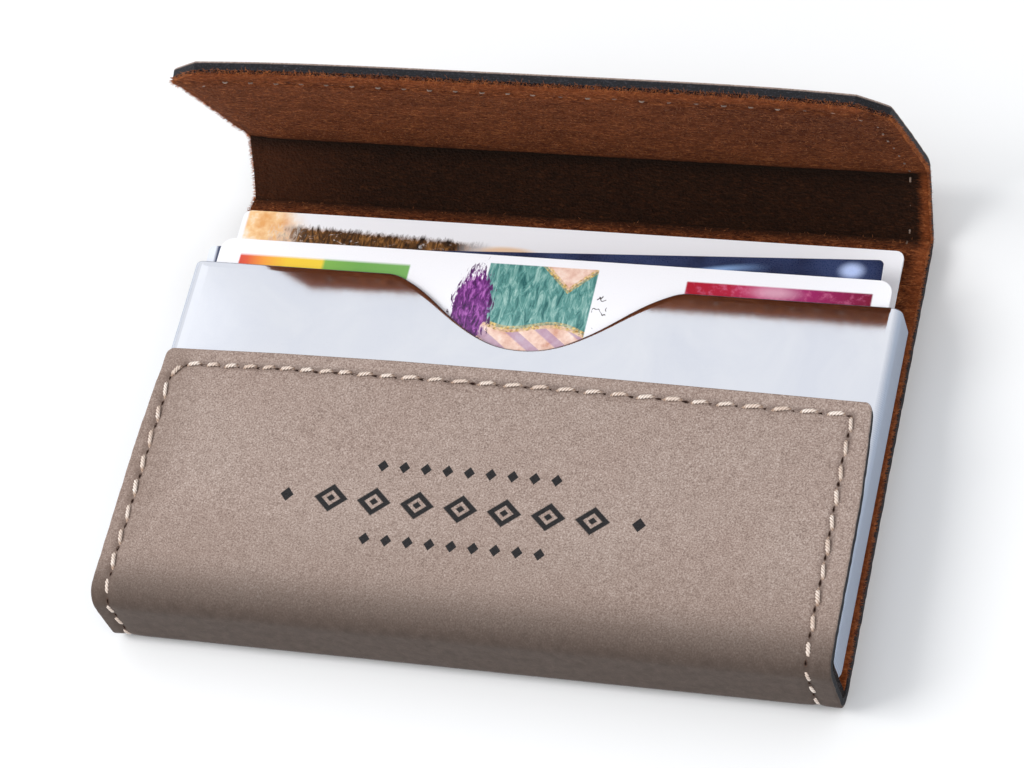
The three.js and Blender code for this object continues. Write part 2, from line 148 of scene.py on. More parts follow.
def half_left(u):
    return np.interp(u, [0, 6, 14, 34, u_back(0), u_back(11), u_back(17), u_back(21), U_A - 3, U_SPLIT, U_B, U_B + 1.8, U_B + 3.4, U_END - 7, U_END - 3],
                     [45.85, 46.2, 46.5, 46.6, 46.7, 46.5, 45.5, 44.85, 44.65, 44.6, 44.75, 45.05, 45.6, 45.7, 46.3])


def half_right(u):
    return np.interp(u, [0, 6, 14, 34, u_back(0), U_A - 4, U_A, U_SPLIT, U_B, U_B + 4, U_END],
                     [45.9, 46.35, 46.75, 46.95, 46.75, 46.75, 46.7, 46.55, 46.35, 46.35, 46.4])


def corner_cut(u, across=CHAMFER, along=CHAMFER):
    """How far the outline steps in at the front panel's small corners and the flap's cut corners."""
    r = 1.0
    e = np.clip(r - u, 0, r)
    front = r - np.sqrt(np.clip(r * r - e * e, 0, None))
    s = u - (U_END - along)
    k = 0.7
    flap = np.where(s > k, s, np.where(s < -k, 0, (s + k) ** 2 / (4 * k)))
    return front + flap * across / along


def edges(u):
    rough = 0.05 * bumpy(u * 1.9, 0.3, 4.0)
    return -half_left(u) + corner_cut(u, 4.7, 3.8) + rough, half_right(u) - corner_cut(u, 3.4, 4.0) + 0.05 * bumpy(u * 2.1, 2.0, 1.0)


# ------------------------------------------------------------------ the seam in (u, v)
def seam_line():
    cc = CHAMFER - 0.9
    return [(SEAM_TOP + 0.35, SEAM_L + 1.9), (SEAM_TOP + 0.25, -14.0), (SEAM_TOP + 0.1, SEAM_R - 0.3), (U_FOLD1 - 8, SEAM_R), (u_back(0), SEAM_R), (U_A, SEAM_R - 0.1), (U_B, SEAM_R + 0.2),
            (U_END - 2.1 - cc, SEAM_R + 0.3), (U_END - 2.1, SEAM_R + 0.3 - cc * 0.85), (U_END - 2.1, -43.3 + cc * 1.2),
            (U_END - 2.1 - cc, -43.3), (U_B, -42.6), (U_SPLIT, -42.4), (U_A, -42.8), (U_A - 7, SEAM_L), (u_back(0), SEAM_L), (U_FOLD1 - 8, SEAM_L), (SEAM_TOP + 2.1, SEAM_L + 0.1), (SEAM_TOP + 0.35, SEAM_L + 1.9)]


def holes():
    pts = np.array(seam_line(), float)
    out = []
    rng = np.random.default_rng(11)
    for k in range(len(pts) - 1):
        # walk each run with its own whole number of stitches, so corners are always a hole
        a, b = pts[k], pts[k + 1]
        length = float(np.linalg.norm(b - a))
        n = max(1, round(length / PITCH))
        ts = [i / n for i in range(n)]
        if k == 0:  # the top row is tighter at its left end
            n_short, short = 9, 2.55
            n_long = round((length - n_short * short) / PITCH)
            long = (length - n_short * short) / n_long
            ts = [i * short / length for i in range(n_short)] + [(n_short * short + i * long) / length for i in range(n_long)]
        for i, t in enumerate(ts):
            j = 0.0 if i == 0 else rng.normal(0, 0.1)
            p = a + (b - a) * t
            along = (b - a) / length
            across = np.array([-along[1], along[0]])
            out.append(p + along * j + across * rng.normal(0, 0.06))
    return np.array(out)


HOLES = holes()


def groove(u, v):
    """How far the outer face is pulled in at the seam, mm."""
    u, v = np.asarray(u, float), np.asarray(v, float)
    g = np.zeros(np.broadcast(u, v).shape)
    near = (v < SEAM_L + 4.5) | (v > SEAM_R - 4.5) | (u < SEAM_TOP + 3) | (u > U_END - 8)
    uf, vf = np.broadcast_to(u, g.shape)[near], np.broadcast_to(v, g.shape)[near]
    best = np.full(uf.shape, 1e9)
    hole = np.full(uf.shape, 1e9)
    n = len(HOLES)
    for i in range(n):
        a, b = HOLES[i], HOLES[(i + 1) % n]
        d = b - a
        sel = (np.abs(uf - (a[0] + b[0]) / 2) < 4.5) & (np.abs(vf - (a[1] + b[1]) / 2) < 4.5)
        if not sel.any():
            continue
        t = np.clip(((uf[sel] - a[0]) * d[0] + (vf[sel] - a[1]) * d[1]) / (d @ d), 0, 1)
        dist = np.hypot(uf[sel] - a[0] - t * d[0], vf[sel] - a[1] - t * d[1])
        best[sel] = np.minimum(best[sel], dist)
        hole[sel] = np.minimum(hole[sel], np.hypot(uf[sel] - a[0], vf[sel] - a[1]))
    g[near] = 0.13 * np.exp(-((best / 0.55) ** 2)) + 0.06 * np.exp(-((best / 1.5) ** 2)) + 0.12 * np.exp(-((hole / 0.5) ** 2))
    return g


# ------------------------------------------------------------------ mesh helpers
def make(name, verts, faces, mats, face_mat=None, lay=None, smooth_faces=True, sharp=None):
    me = bpy.data.meshes.new(name)
    verts = np.asarray(verts, float)
    me.from_pydata((verts * MM).tolist(), [], faces if isinstance(faces, list) else faces.tolist())
    for m in mats:
        me.materials.append(m)
    if face_mat is not None:
        me.polygons.foreach_set("material_index", np.asarray(face_mat, np.int32))
    me.polygons.foreach_set("use_smooth", np.full(len(me.polygons), smooth_faces, bool))
    if lay is not None:
        at = me.attributes.new("lay", "FLOAT_VECTOR", "POINT")
        at.data.foreach_set("vector", np.asarray(lay, np.float32).ravel())
    me.update()
    me.validate()
    ob = bpy.data.objects.new(name, me)
    bpy.context.scene.collection.objects.link(ob)
    return ob


class Build:
    def __init__(self):
        self.v, self.l, self.f, self.m, self.n = [], [], [], [], 0

    def grid(self, p, lay, mat, flip=False):
        """p is (rows, cols, 3). A face's normal is row direction x column direction."""
        r, c = p.shape[:2]
        idx = np.arange(r * c).reshape(r, c) + self.n
        a, b, d, e = idx[:-1, :-1].ravel(), idx[1:, :-1].ravel(), idx[1:, 1:].ravel(), idx[:-1, 1:].ravel()
        q = np.stack([a, b, d, e] if not flip else [a, e, d, b], -1)
        self.v.append(p.reshape(-1, 3))
        self.l.append(lay.reshape(-1, 3))
        self.f.append(q)
        self.m.append(np.full(len(q), mat))
        self.n += r * c

    def tris(self, p, lay, f, mat):
        self.v.append(p)
        self.l.append(lay)
        self.f.append(np.asarray(f) + self.n)
        self.m.append(np.full(len(f), mat))
        self.n += len(p)

    def done(self, name, mats, smooth_faces=True):
        faces = [row for block in self.f for row in block.tolist()]
        return make(name, np.concatenate(self.v), faces, mats, np.concatenate(self.m), np.concatenate(self.l), smooth_faces)


def columns(us, fine, coarse, reach):
    """v positions of every column at each station: fine steps near both edges, coarse between."""
    l, r = edges(us)
    near = np.concatenate([[0, 0.05, 0.11, 0.18, 0.26, 0.38, 0.55], np.arange(0.75, reach, fine)])
    left = l[:, None] + near[None, :]
    right = r[:, None] - near[None, ::-1]
    n = int(round((2 * HW - 2 * reach) / coarse))
    t = np.linspace(0, 1, n + 2)[1:-1]
    mid = left[:, -1:] + (right[:, :1] - left[:, -1:]) * t[None, :]
    return np.concatenate([left, mid, right], 1)


def stations(u0, u1, step, ends=(False, False), dense=()):
    s = [u0]
    while s[-1] < u1 - 1e-6:
        h = step
        for a, b, k in dense:
            if a <= s[-1] < b:
                h = min(h, k)
        s.append(min(s[-1] + h, u1))
    s = np.array(s)
    extra = np.array([0.05, 0.11, 0.18, 0.26, 0.38, 0.55])
    if ends[0]:
        s = np.concatenate([s, u0 + extra])
    if ends[1]:
        s = np.concatenate([s, u1 - extra])
    s = np.unique(np.round(s, 4))
    keep = np.concatenate([[True], np.diff(s) > 0.03])
    return s[keep]


def rounding(e, r):
    k = np.clip(r - e, 0, r)
    return r - np.sqrt(np.clip(r * r - k * k, 0, None))


def slab(name, us, ends, top, bottom, r_top, r_bottom, fine, coarse, reach, mats, depth_rows=5, rough=0.05):
    """A closed stretch of the strip between depth top(u, v) and bottom(u, v). Material 0 is the
    outer face, 1 the inner face and 2 the cut edge."""
    v = columns(us, fine, coarse, reach)
    u = np.repeat(us[:, None], v.shape[1], 1)
    l, r = v[:, :1], v[:, -1:]
    e = np.minimum(v - l, r - v)
    if ends[0]:
        e = np.minimum(e, u - us[0])
    if ends[1]:
        e = np.minimum(e, us[-1] - u)
    d0 = top(u, v, e) + rounding(e, r_top)
    d1 = bottom(u, v, e) - rounding(e, r_bottom)
    b = Build()
    outer, inner = place(u, v, d0), place(u, v, d1)
    b.grid(outer, np.stack([v, u, d0], -1), 0)
    b.grid(inner, np.stack([v, u, d1], -1), 1, flip=True)
    t = np.linspace(0, 1, depth_rows + 1)

    def side(uc, vc, da, db, su, sv, flip):
        dd = da[:, None] + (db - da)[:, None] * t[None, :]
        U, V = np.repeat(uc[:, None], len(t), 1), np.repeat(vc[:, None], len(t), 1)
        w = np.sin(t * math.pi)[None, :] * (rough * bumpy(U * 5.1 + V * 4.7, dd * 5.0, 3.0) - rough * 0.5)
        b.grid(place(U + w * su, V + w * sv, dd), np.stack([V, U, dd], -1), 2, flip=flip)

    side(u[:, 0], v[:, 0], d0[:, 0], d1[:, 0], 0, -1, True)
    side(u[:, -1], v[:, -1], d0[:, -1], d1[:, -1], 0, 1, False)
    if ends[0]:
        side(u[0], v[0], d0[0], d1[0], -1, 0, False)
    if ends[1]:
        side(u[-1], v[-1], d0[-1], d1[-1], 1, 0, True)
    return b.done(name, mats)


# ------------------------------------------------------------------ node materials
class Nodes:
    def __init__(self, name):
        self.mat = bpy.data.materials.new(name)
        self.mat.use_nodes = True
        self.t = self.mat.node_tree
        self.t.nodes.clear()
        self.out = self.t.nodes.new("ShaderNodeOutputMaterial")
        self.b = self.t.nodes.new("ShaderNodeBsdfPrincipled")
        self.t.links.new(self.b.outputs[0], self.out.inputs[0])

    def set(self, **kw):
        names = {"color": "Base Color", "rough": "Roughness", "metal": "Metallic", "normal": "Normal", "ior": "IOR", "sheen": "Sheen Weight", "sheen_rough": "Sheen Roughness",
                 "sheen_tint": "Sheen Tint", "coat": "Coat Weight", "coat_rough": "Coat Roughness", "spec": "Specular IOR Level", "aniso": "Anisotropic"}
        for k, val in kw.items():
            sock = self.b.inputs[names[k]]
            if hasattr(val, "is_output"):
                self.t.links.new(val, sock)
            else:
                sock.default_value = (*val, 1.0) if isinstance(val, tuple) and len(val) == 3 and sock.type == "RGBA" else val
        return self

    def node(self, kind, **props):
        n = self.t.nodes.new(kind)
        for k, val in props.items():
            setattr(n, k, val)
        return n

    def plug(self, sock, val):
        if hasattr(val, "is_output"):
            self.t.links.new(val, sock)
        elif isinstance(val, tuple) and len(val) == 3 and sock.type == "RGBA":
            sock.default_value = (*val, 1.0)
        else:
            sock.default_value = val

    def lay(self, name="lay"):
        return self.node("ShaderNodeAttribute", attribute_name=name).outputs["Vector"]

    def obj(self):
        return self.node("ShaderNodeTexCoord").outputs["Object"]

    def scale(self, vec, s):
        n = self.node("ShaderNodeVectorMath", operation="MULTIPLY")
        self.plug(n.inputs[0], vec)
        n.inputs[1].default_value = s
        return n.outputs[0]

    def noise(self, vec, scale, detail=3.0, rough=0.5, distortion=0.0):
        n = self.node("ShaderNodeTexNoise")
        self.plug(n.inputs["Vector"], vec)
        n.inputs["Scale"].default_value = scale
        n.inputs["Detail"].default_value = detail
        n.inputs["Roughness"].default_value = rough
        n.inputs["Distortion"].default_value = distortion
        return n.outputs["Fac"]

    def cells(self, vec, scale, feature="F1", randomness=1.0, smoothness=None):
        n = self.node("ShaderNodeTexVoronoi", feature=feature)
        self.plug(n.inputs["Vector"], vec)
        n.inputs["Scale"].default_value = scale
        n.inputs["Randomness"].default_value = randomness
        return n.outputs["Distance"]

    def ramp(self, fac, stops, mode="LINEAR"):
        n = self.node("ShaderNodeValToRGB")
        n.color_ramp.interpolation = mode
        self.plug(n.inputs[0], fac)
        while len(n.color_ramp.elements) < len(stops):
            n.color_ramp.elements.new(0.5)
        for el, (p, c) in zip(n.color_ramp.elements, stops):
            el.position = p
            el.color = (c, c, c, 1) if isinstance(c, (int, float)) else (*c, 1)
        return n.outputs[0]

    def math(self, op, a, b=0.0, c=0.0, clamp=False):
        n = self.node("ShaderNodeMath", operation=op, use_clamp=clamp)
        self.plug(n.inputs[0], a)
        self.plug(n.inputs[1], b)
        if op in ("MULTIPLY_ADD", "SMOOTH_MIN", "SMOOTH_MAX", "COMPARE"):
            self.plug(n.inputs[2], c)
        return n.outputs[0]

    def mix(self, fac, a, b, blend="MIX"):
        n = self.node("ShaderNodeMix", data_type="RGBA", blend_type=blend)
        self.plug(n.inputs[0], fac)
        self.plug(n.inputs[6], a)
        self.plug(n.inputs[7], b)
        return n.outputs[2]

    def split(self, vec):
        n = self.node("ShaderNodeSeparateXYZ")
        self.plug(n.inputs[0], vec)
        return n.outputs[0], n.outputs[1], n.outputs[2]

    def join(self, x, y, z):
        n = self.node("ShaderNodeCombineXYZ")
        for k, val in enumerate((x, y, z)):
            self.plug(n.inputs[k], val)
        return n.outputs[0]

    def range(self, val, a, b, c=0.0, d=1.0, smoothstep=False):
        n = self.node("ShaderNodeMapRange", interpolation_type="SMOOTHSTEP" if smoothstep else "LINEAR")
        self.plug(n.inputs[0], val)
        for k, x in zip((1, 2, 3, 4), (a, b, c, d)):
            self.plug(n.inputs[k], x)
        return n.outputs[0]

    def bump(self, height, strength, distance, normal=None):
        n = self.node("ShaderNodeBump")
        self.plug(n.inputs["Height"], height)
        n.inputs["Strength"].default_value = strength
        n.inputs["Distance"].default_value = distance
        if normal is not None:
            self.plug(n.inputs["Normal"], normal)
        return n.outputs[0]


def srgb(r, g, b):
    return tuple(((x / 255) / 12.92 if x / 255 <= 0.04045 else ((x / 255 + 0.055) / 1.055) ** 2.4) for x in (r, g, b))


# the leather's colour side: taupe, finely mottled, with a plain engraved band of lozenges
def leather_face():
    n = Nodes("leatherette_taupe")
    p = n.lay()
    v, u, d = n.split(p)
    big = n.noise(p, 0.07, 3, 0.55)
    mid = n.noise(p, 0.8, 4, 0.6, 0.4)
    fine = n.noise(p, 5.2, 2, 0.55, 0.6)
    grain = n.cells(p, 3.8)
    pores = n.cells(p, 5.0)
    speck = n.math("ADD", n.math("MULTIPLY", mid, 0.18), n.math("MULTIPLY", fine, 0.82))
    base = n.ramp(speck, [(0.34, srgb(118, 100, 91)), (0.46, srgb(146, 127, 117)), (0.55, srgb(162, 144, 134)), (0.68, srgb(187, 171, 162))])
    base = n.mix(n.range(big, 0.35, 0.7), base, n.mix(1.0, base, (0.93, 0.9, 0.89), "MULTIPLY"))
    base = n.mix(n.math("MULTIPLY", n.range(pores, 0.0, 0.22, 1.0, 0.0), 0.4), base, srgb(92, 74, 66))
    # handled edges, and the leather drawn down along the seam, are darker
    base = n.mix(n.range(d, 0.1, 0.3, 0.0, 0.55), base, srgb(84, 68, 61))
    # painted shade: the lower front, the bottom fold and the bottom are painted nearly black, standing in for the
    # shadow there
    painted_fold_shade = n.math("MULTIPLY", n.range(u, U_FOLD1 - 5.0, U_FOLD1 + 3.2, 0.0, 0.94, True), n.range(u, U_BACK0 - 2.0, U_BACK0 + 3.0, 1.0, 0.0, True))
    painted_fold_shade = n.math("MULTIPLY", painted_fold_shade, n.range(mid, 0.3, 0.7, 0.86, 1.0))
    base = n.mix(painted_fold_shade, base, srgb(20, 15, 13))
    # painted shade: the panel is painted a little darker at its left end and low down
    shade = n.math("MAXIMUM", n.range(v, -45.0, -38.0, 0.35, 0.0, True), n.range(u, U_FOLD1 - 14.0, U_FOLD1 - 2.0, 0.0, 0.28, True))
    base = n.mix(n.math("MULTIPLY", shade, n.range(u, U_BACK0 - 2.0, U_BACK0, 1.0, 0.0)), base, srgb(104, 84, 71))
    # generic engraved ornament: lozenges between two short rows of dots
    x = n.math("ADD", v, 1.8)
    ax = n.math("ABSOLUTE", x)

    def lozenges(yc, pitch, w, h, half):
        fx = n.math("ABSOLUTE", n.math("SUBTRACT", n.math("FRACT", n.math("ADD", n.math("DIVIDE", x, pitch), 100.5)), 0.5))
        fy = n.math("ABSOLUTE", n.math("SUBTRACT", u, yc))
        s = n.math("ADD", n.math("DIVIDE", n.math("MULTIPLY", fx, pitch), w), n.math("DIVIDE", fy, h))
        return n.math("MULTIPLY", n.range(s, 0.92, 1.0, 1.0, 0.0), n.math("LESS_THAN", ax, half)), s

    big_l, s_big = lozenges(19.3, 5.6, 2.3, 2.0, 19.7)
    hollow = n.math("MULTIPLY", big_l, n.math("SUBTRACT", 1.0, n.math("MULTIPLY", n.range(s_big, 0.5, 0.56, 1.0, 0.0), n.range(s_big, 0.22, 0.28, 0.0, 1.0))))
    top_l, _ = lozenges(14.3, 2.8, 0.75, 0.85, 12.7)
    low_l, _ = lozenges(24.4, 2.8, 0.75, 0.85, 12.7)
    tips = n.math("MULTIPLY", n.range(n.math("ADD", n.math("DIVIDE", n.math("ABSOLUTE", n.math("SUBTRACT", ax, 22.6)), 0.9), n.math("DIVIDE", n.math("ABSOLUTE", n.math("SUBTRACT", u, 19.3)), 1.0)), 0.92, 1.0, 1.0, 0.0), 1.0)
    mark = n.math("MAXIMUM", n.math("MAXIMUM", hollow, tips), n.math("MAXIMUM", top_l, low_l))
    mark = n.math("MULTIPLY", mark, n.math("LESS_THAN", u, 34.0))
    burnt = n.ramp(n.noise(p, 5.0, 3, 0.6), [(0.3, srgb(12, 12, 14)), (0.7, srgb(42, 40, 41))])
    col = n.mix(mark, base, burnt)
    rough = n.math("ADD", n.range(speck, 0.3, 0.7, 0.50, 0.66), n.math("MULTIPLY", n.math("MAXIMUM", mark, painted_fold_shade), 0.3))
    h = n.math("ADD", n.math("MULTIPLY", grain, 0.55), n.math("MULTIPLY", fine, 0.5))
    h = n.math("ADD", h, n.math("MULTIPLY", mid, 0.5))
    h = n.math("SUBTRACT", h, n.math("MULTIPLY", mark, 3.0))
    n.set(color=col, rough=rough, normal=n.bump(h, 0.55, 0.00005), sheen=0.05, sheen_rough=0.45, spec=0.34)
    return n.mat


# cut edge of the leather: thin colour skin, then a dark fibrous core
def leather_core():
    n = Nodes("leatherette_core")
    p = n.lay()
    v, u, d = n.split(p)
    fib = n.noise(n.scale(p, (1.0, 1.0, 3.0)), 2.6, 4, 0.7, 0.5)
    speck = n.cells(p, 3.6)
    core = n.ramp(fib, [(0.36, srgb(6, 6, 9)), (0.56, srgb(22, 23, 29)), (0.74, srgb(78, 78, 86))])
    core = n.mix(n.math("MULTIPLY", n.range(speck, 0.0, 0.16, 1.0, 0.0), 0.45), core, srgb(140, 138, 142))
    skin = n.range(n.math("ADD", d, n.math("MULTIPLY", n.math("SUBTRACT", fib, 0.5), 0.2)), 0.26, 0.34, 1.0, 0.0)
    col = n.mix(skin, core, srgb(118, 102, 94))
    n.set(color=col, rough=n.range(fib, 0.3, 0.7, 0.62, 0.9), normal=n.bump(n.math("ADD", fib, speck), 0.8, 0.00012), spec=0.3)
    return n.mat


def leather_back():
    n = Nodes("leatherette_inside")
    p = n.lay()
    f = n.noise(p, 2.0, 4, 0.7)
    n.set(color=n.ramp(f, [(0.3, srgb(34, 34, 38)), (0.7, srgb(78, 76, 80))]), rough=0.9, normal=n.bump(f, 0.6, 0.0001))
    return n.mat


# brown suede lining
def suede(name, edge):
    n = Nodes(name)
    p = n.lay()
    v, u, d = n.split(p)
    av = n.math("ABSOLUTE", v)
    swirl = n.noise(p, 0.13, 4, 0.55, 1.2)
    nap = n.noise(n.scale(p, (0.42, 1.25, 1.0)), 1.5, 5, 0.75, 1.6)
    fine = n.noise(n.scale(p, (0.5, 1.6, 1.0)), 3.6, 3, 0.7, 0.8)
    tuft = n.cells(p, 2.6)
    mixv = n.math("ADD", n.math("MULTIPLY", nap, 0.62), n.math("MULTIPLY", fine, 0.38))
    # the cut side of the back panel shows its dark glued board, the flap's only the lining
    if edge:
        col = n.ramp(mixv, [(0.34, srgb(58, 22, 8)), (0.5, srgb(120, 56, 24)), (0.7, srgb(186, 104, 54))])
        limit = n.math("ADD", n.range(u, U_A - 3.0, U_A + 1.0, 2.15, 1.22), n.range(u, U_B + 1.0, U_B + 4.0, 0.0, 0.5))
        low = n.range(n.math("SUBTRACT", n.math("ADD", d, n.math("MULTIPLY", n.math("SUBTRACT", nap, 0.5), 0.6)), limit), -0.06, 0.06, 1.0, 0.0)
        dark = n.ramp(fine, [(0.36, srgb(8, 8, 11)), (0.56, srgb(30, 31, 37)), (0.72, srgb(104, 104, 110))])
        col = n.mix(low, col, dark)
    else:
        col = n.ramp(mixv, [(0.35, srgb(46, 18, 6)), (0.46, srgb(102, 47, 20)), (0.55, srgb(150, 80, 42)), (0.68, srgb(222, 142, 86))])
        col = n.mix(n.math("MULTIPLY", n.range(swirl, 0.4, 0.66), 0.55), col, n.mix(1.0, col, (0.6, 0.54, 0.5), "MULTIPLY"))
        # painted shade: the flap lining is painted darker towards its right end
        painted_flap_shade = n.math("MULTIPLY", n.range(v, 8.0, 34.0, 0.0, 1.0, True), n.range(u, U_B + 5.0, U_B + 14.0, 0.0, 0.6, True))
        col = n.mix(painted_flap_shade, col, n.mix(1.0, col, (0.52, 0.46, 0.42), "MULTIPLY"))
        # painted shade: the lining is painted very dark in the spine and next to it
        spine = n.math("MULTIPLY", n.range(u, U_A - 3.4, U_A - 0.6, 0.0, 1.0, True), n.range(u, U_B - 0.6, U_B + 2.4, 1.0, 0.0, True))
        painted_deep_shade = n.ramp(mixv, [(0.36, srgb(9, 4, 2)), (0.54, srgb(26, 12, 5)), (0.70, srgb(56, 28, 13))])
        # more light reaches the left end
        painted_deep_shade = n.mix(n.range(v, -44.0, -24.0, 0.55, 0.0, True), painted_deep_shade, srgb(72, 36, 18))
        col = n.mix(n.math("MULTIPLY", spine, 0.93), col, painted_deep_shade)
        # painted shadow: a dark line under the flap's crease
        line = n.math("MULTIPLY", n.range(u, U_B - 3.4, U_B - 0.5, 0.0, 0.8, True), n.range(u, U_B + 0.1, U_B + 1.0, 1.0, 0.0, True))
        col = n.mix(line, col, srgb(7, 3, 2))
        # worn, fuzzy rim next to the cut edges; its lighter orange is partly painted light, to lift it out of the box's
        # shade
        rim = n.math("MULTIPLY", n.range(n.math("ADD", av, n.math("MULTIPLY", n.math("SUBTRACT", nap, 0.5), 2.0)), 44.9, 46.2, 0.0, 0.85, True), n.range(u, U_B - 2, U_B + 3.0, 1.0, 0.4))
        rim = n.math("MAXIMUM", rim, n.range(n.math("ADD", u, n.math("MULTIPLY", nap, 1.2)), U_END - 1.6, U_END, 0.0, 0.85, True))
        col = n.mix(rim, col, n.ramp(mixv, [(0.34, srgb(88, 36, 12)), (0.52, srgb(150, 76, 36)), (0.72, srgb(204, 128, 78))]))
    h = n.math("ADD", n.math("MULTIPLY", nap, 1.0), n.math("ADD", n.math("MULTIPLY", fine, 0.5), n.math("MULTIPLY", tuft, 0.5)))
    n.set(color=col, rough=0.95, normal=n.bump(h, 1.0, 0.0006), sheen=0.06, sheen_rough=0.5, sheen_tint=(0.72, 0.42, 0.26), spec=0.1)
    return n.mat


def fibre(name, a, b):
    n = Nodes(name)
    p = n.lay()
    f = n.noise(p, 1.7, 2, 0.5)
    n.set(color=n.ramp(f, [(0.3, a), (0.7, b)]), rough=0.85, normal=n.bump(n.noise(p, 9.0, 2), 0.3, 0.00002), sheen=0.08, sheen_rough=0.4, spec=0.2)
    return n.mat


def thread_mat(name, light, dark):
    n = Nodes(name)
    p = n.lay()
    run, lift, ply = n.split(p)
    f = n.noise(p, 0.5, 2, 0.5)
    fuzz = n.noise(n.scale(p, (6.0, 1.0, 1.0)), 2.0, 2, 0.6)
    col = n.mix(n.range(f, 0.35, 0.65), light, dark)
    # shade between the plies, and a tan tone where the thread is still coming up
    col = n.mix(n.range(ply, -0.9, 0.1, 0.75, 0.0), col, n.mix(1.0, col, (0.42, 0.33, 0.26), "MULTIPLY"))
    col = n.mix(n.range(lift, 0.35, 0.95, 0.8, 0.0), col, n.mix(1.0, col, (0.5, 0.36, 0.26), "MULTIPLY"))
    n.set(color=col, rough=n.range(fuzz, 0.3, 0.7, 0.36, 0.55), normal=n.bump(fuzz, 0.4, 0.00003), sheen=0.2, sheen_rough=0.4, spec=0.6)
    return n.mat


# painted shadow: the dark inside of the needle holes, painted on thin patches laid over the leather
def hole_shadow_mat():
    n = Nodes("painted_hole_shadow")
    p = n.lay()
    v, u, r = n.split(p)
    f = n.noise(p, 3.0, 2, 0.6)
    painted_deep_shade = n.ramp(f, [(0.3, srgb(20, 13, 11)), (0.7, srgb(44, 31, 26))])
    n.set(color=n.mix(n.range(r, 0.45, 1.0), painted_deep_shade, srgb(98, 78, 68)), rough=0.95, normal=n.bump(f, 0.4, 0.00004), spec=0.05)
    return n.mat


def satin_metal():
    n = Nodes("satin_metal")
    p = n.lay()
    brush = n.noise(n.scale(p, (0.25, 5.0, 5.0)), 1.4, 4, 0.65)
    brush_side = n.noise(n.scale(p, (5.0, 5.0, 0.2)), 1.6, 4, 0.65)
    smudge = n.noise(p, 0.09, 4, 0.6, 0.8)
    grain = n.noise(p, 7.0, 2, 0.6)
    h = n.math("ADD", n.math("MULTIPLY", grain, 0.5), n.math("MULTIPLY", brush, 0.25))
    rough = n.math("ADD", n.range(smudge, 0.3, 0.7, 0.06, 0.085), n.math("MULTIPLY", n.math("SUBTRACT", grain, 0.5), 0.02))
    col = n.mix(n.range(smudge, 0.3, 0.7), srgb(246, 247, 252), srgb(238, 240, 248))
    # the two narrow sides are brushed across, and painted a darker blue-grey as a painted reflection of darker
    # surroundings
    x, y, z = n.split(p)
    ribs = n.math("MULTIPLY", n.math("ADD", n.math("SINE", n.math("MULTIPLY", y, 22.0)), 1.0), 0.5)
    side = n.range(n.math("ABSOLUTE", x), BOX_W / 2 - 1.0, BOX_W / 2 - 0.2)
    brushed_side_and_painted_reflection = n.mix(n.math("ADD", n.math("MULTIPLY", ribs, 0.35), n.math("MULTIPLY", brush_side, 0.5)), srgb(120, 134, 156), srgb(186, 198, 216))
    col = n.mix(n.math("MULTIPLY", side, 0.85), col, brushed_side_and_painted_reflection)
    rough = n.math("ADD", rough, n.math("MULTIPLY", side, 0.42))
    n.set(color=col, metal=1.0, rough=rough, normal=n.bump(h, 0.12, 0.00001))
    return n.mat


def metal_edge():
    n = Nodes("satin_metal_edge")
    p = n.lay()
    g = n.noise(n.scale(p, (6, 6, 0.8)), 1.2, 3, 0.6)
    n.set(color=n.ramp(g, [(0.3, srgb(120, 124, 134)), (0.7, srgb(196, 200, 210))]), metal=1.0, rough=n.range(g, 0.3, 0.7, 0.28, 0.45), normal=n.bump(g, 0.3, 0.00002))
    return n.mat


def board_mat():
    n = Nodes("stiffener_board")
    p = n.scale(n.obj(), (1000, 1000, 1000))
    f = n.noise(p, 1.3, 5, 0.7, 0.6)
    n.set(color=n.ramp(f, [(0.3, srgb(120, 114, 104)), (0.7, srgb(166, 160, 148))]), rough=n.range(f, 0.3, 0.7, 0.8, 0.98), normal=n.bump(f, 0.5, 0.0001))
    return n.mat


def magnet_mat():
    n = Nodes("nickel_magnet")
    p = n.scale(n.obj(), (1000, 1000, 1000))
    f = n.noise(p, 2.2, 4, 0.6)
    n.set(color=n.ramp(f, [(0.3, srgb(176, 174, 170)), (0.7, srgb(204, 202, 198))]), metal=1.0, rough=n.range(f, 0.3, 0.7, 0.24, 0.4), normal=n.bump(f, 0.2, 0.00003))
    return n.mat


# ------------------------------------------------------------------ card prints (coordinates in mm from the card's middle)
def card_paper(n, col, gloss=0.34, coat=0.0):
    p = n.lay()
    tooth = n.noise(p, 6.0, 3, 0.6)
    col = n.mix(0.035, col, n.ramp(tooth, [(0.3, 0.6), (0.7, 1.0)]), "MULTIPLY")
    n.set(color=col, rough=n.range(tooth, 0.3, 0.7, gloss - 0.04, gloss + 0.06), normal=n.bump(tooth, 0.15, 0.00001), spec=0.5)
    if coat:
        n.set(coat=coat, coat_rough=0.12)
    return n.mat


def between(n, x, a, b, s=0.12):
    return n.math("MULTIPLY", n.range(x, a - s, a + s), n.range(x, b - s, b + s, 1.0, 0.0))


def blob(n, p, cx, cyy, rx, ry, soft=0.25, warp=None):
    x, y, _ = n.split(p)
    dx = n.math("DIVIDE", n.math("SUBTRACT", x, cx), rx)
    dy = n.math("DIVIDE", n.math("SUBTRACT", y, cyy), ry)
    r = n.math("SQRT", n.math("ADD", n.math("MULTIPLY", dx, dx), n.math("MULTIPLY", dy, dy)))
    if warp is not None:
        r = n.math("ADD", r, warp)
    return n.range(r, 1.0 - soft, 1.0, 1.0, 0.0, True), r


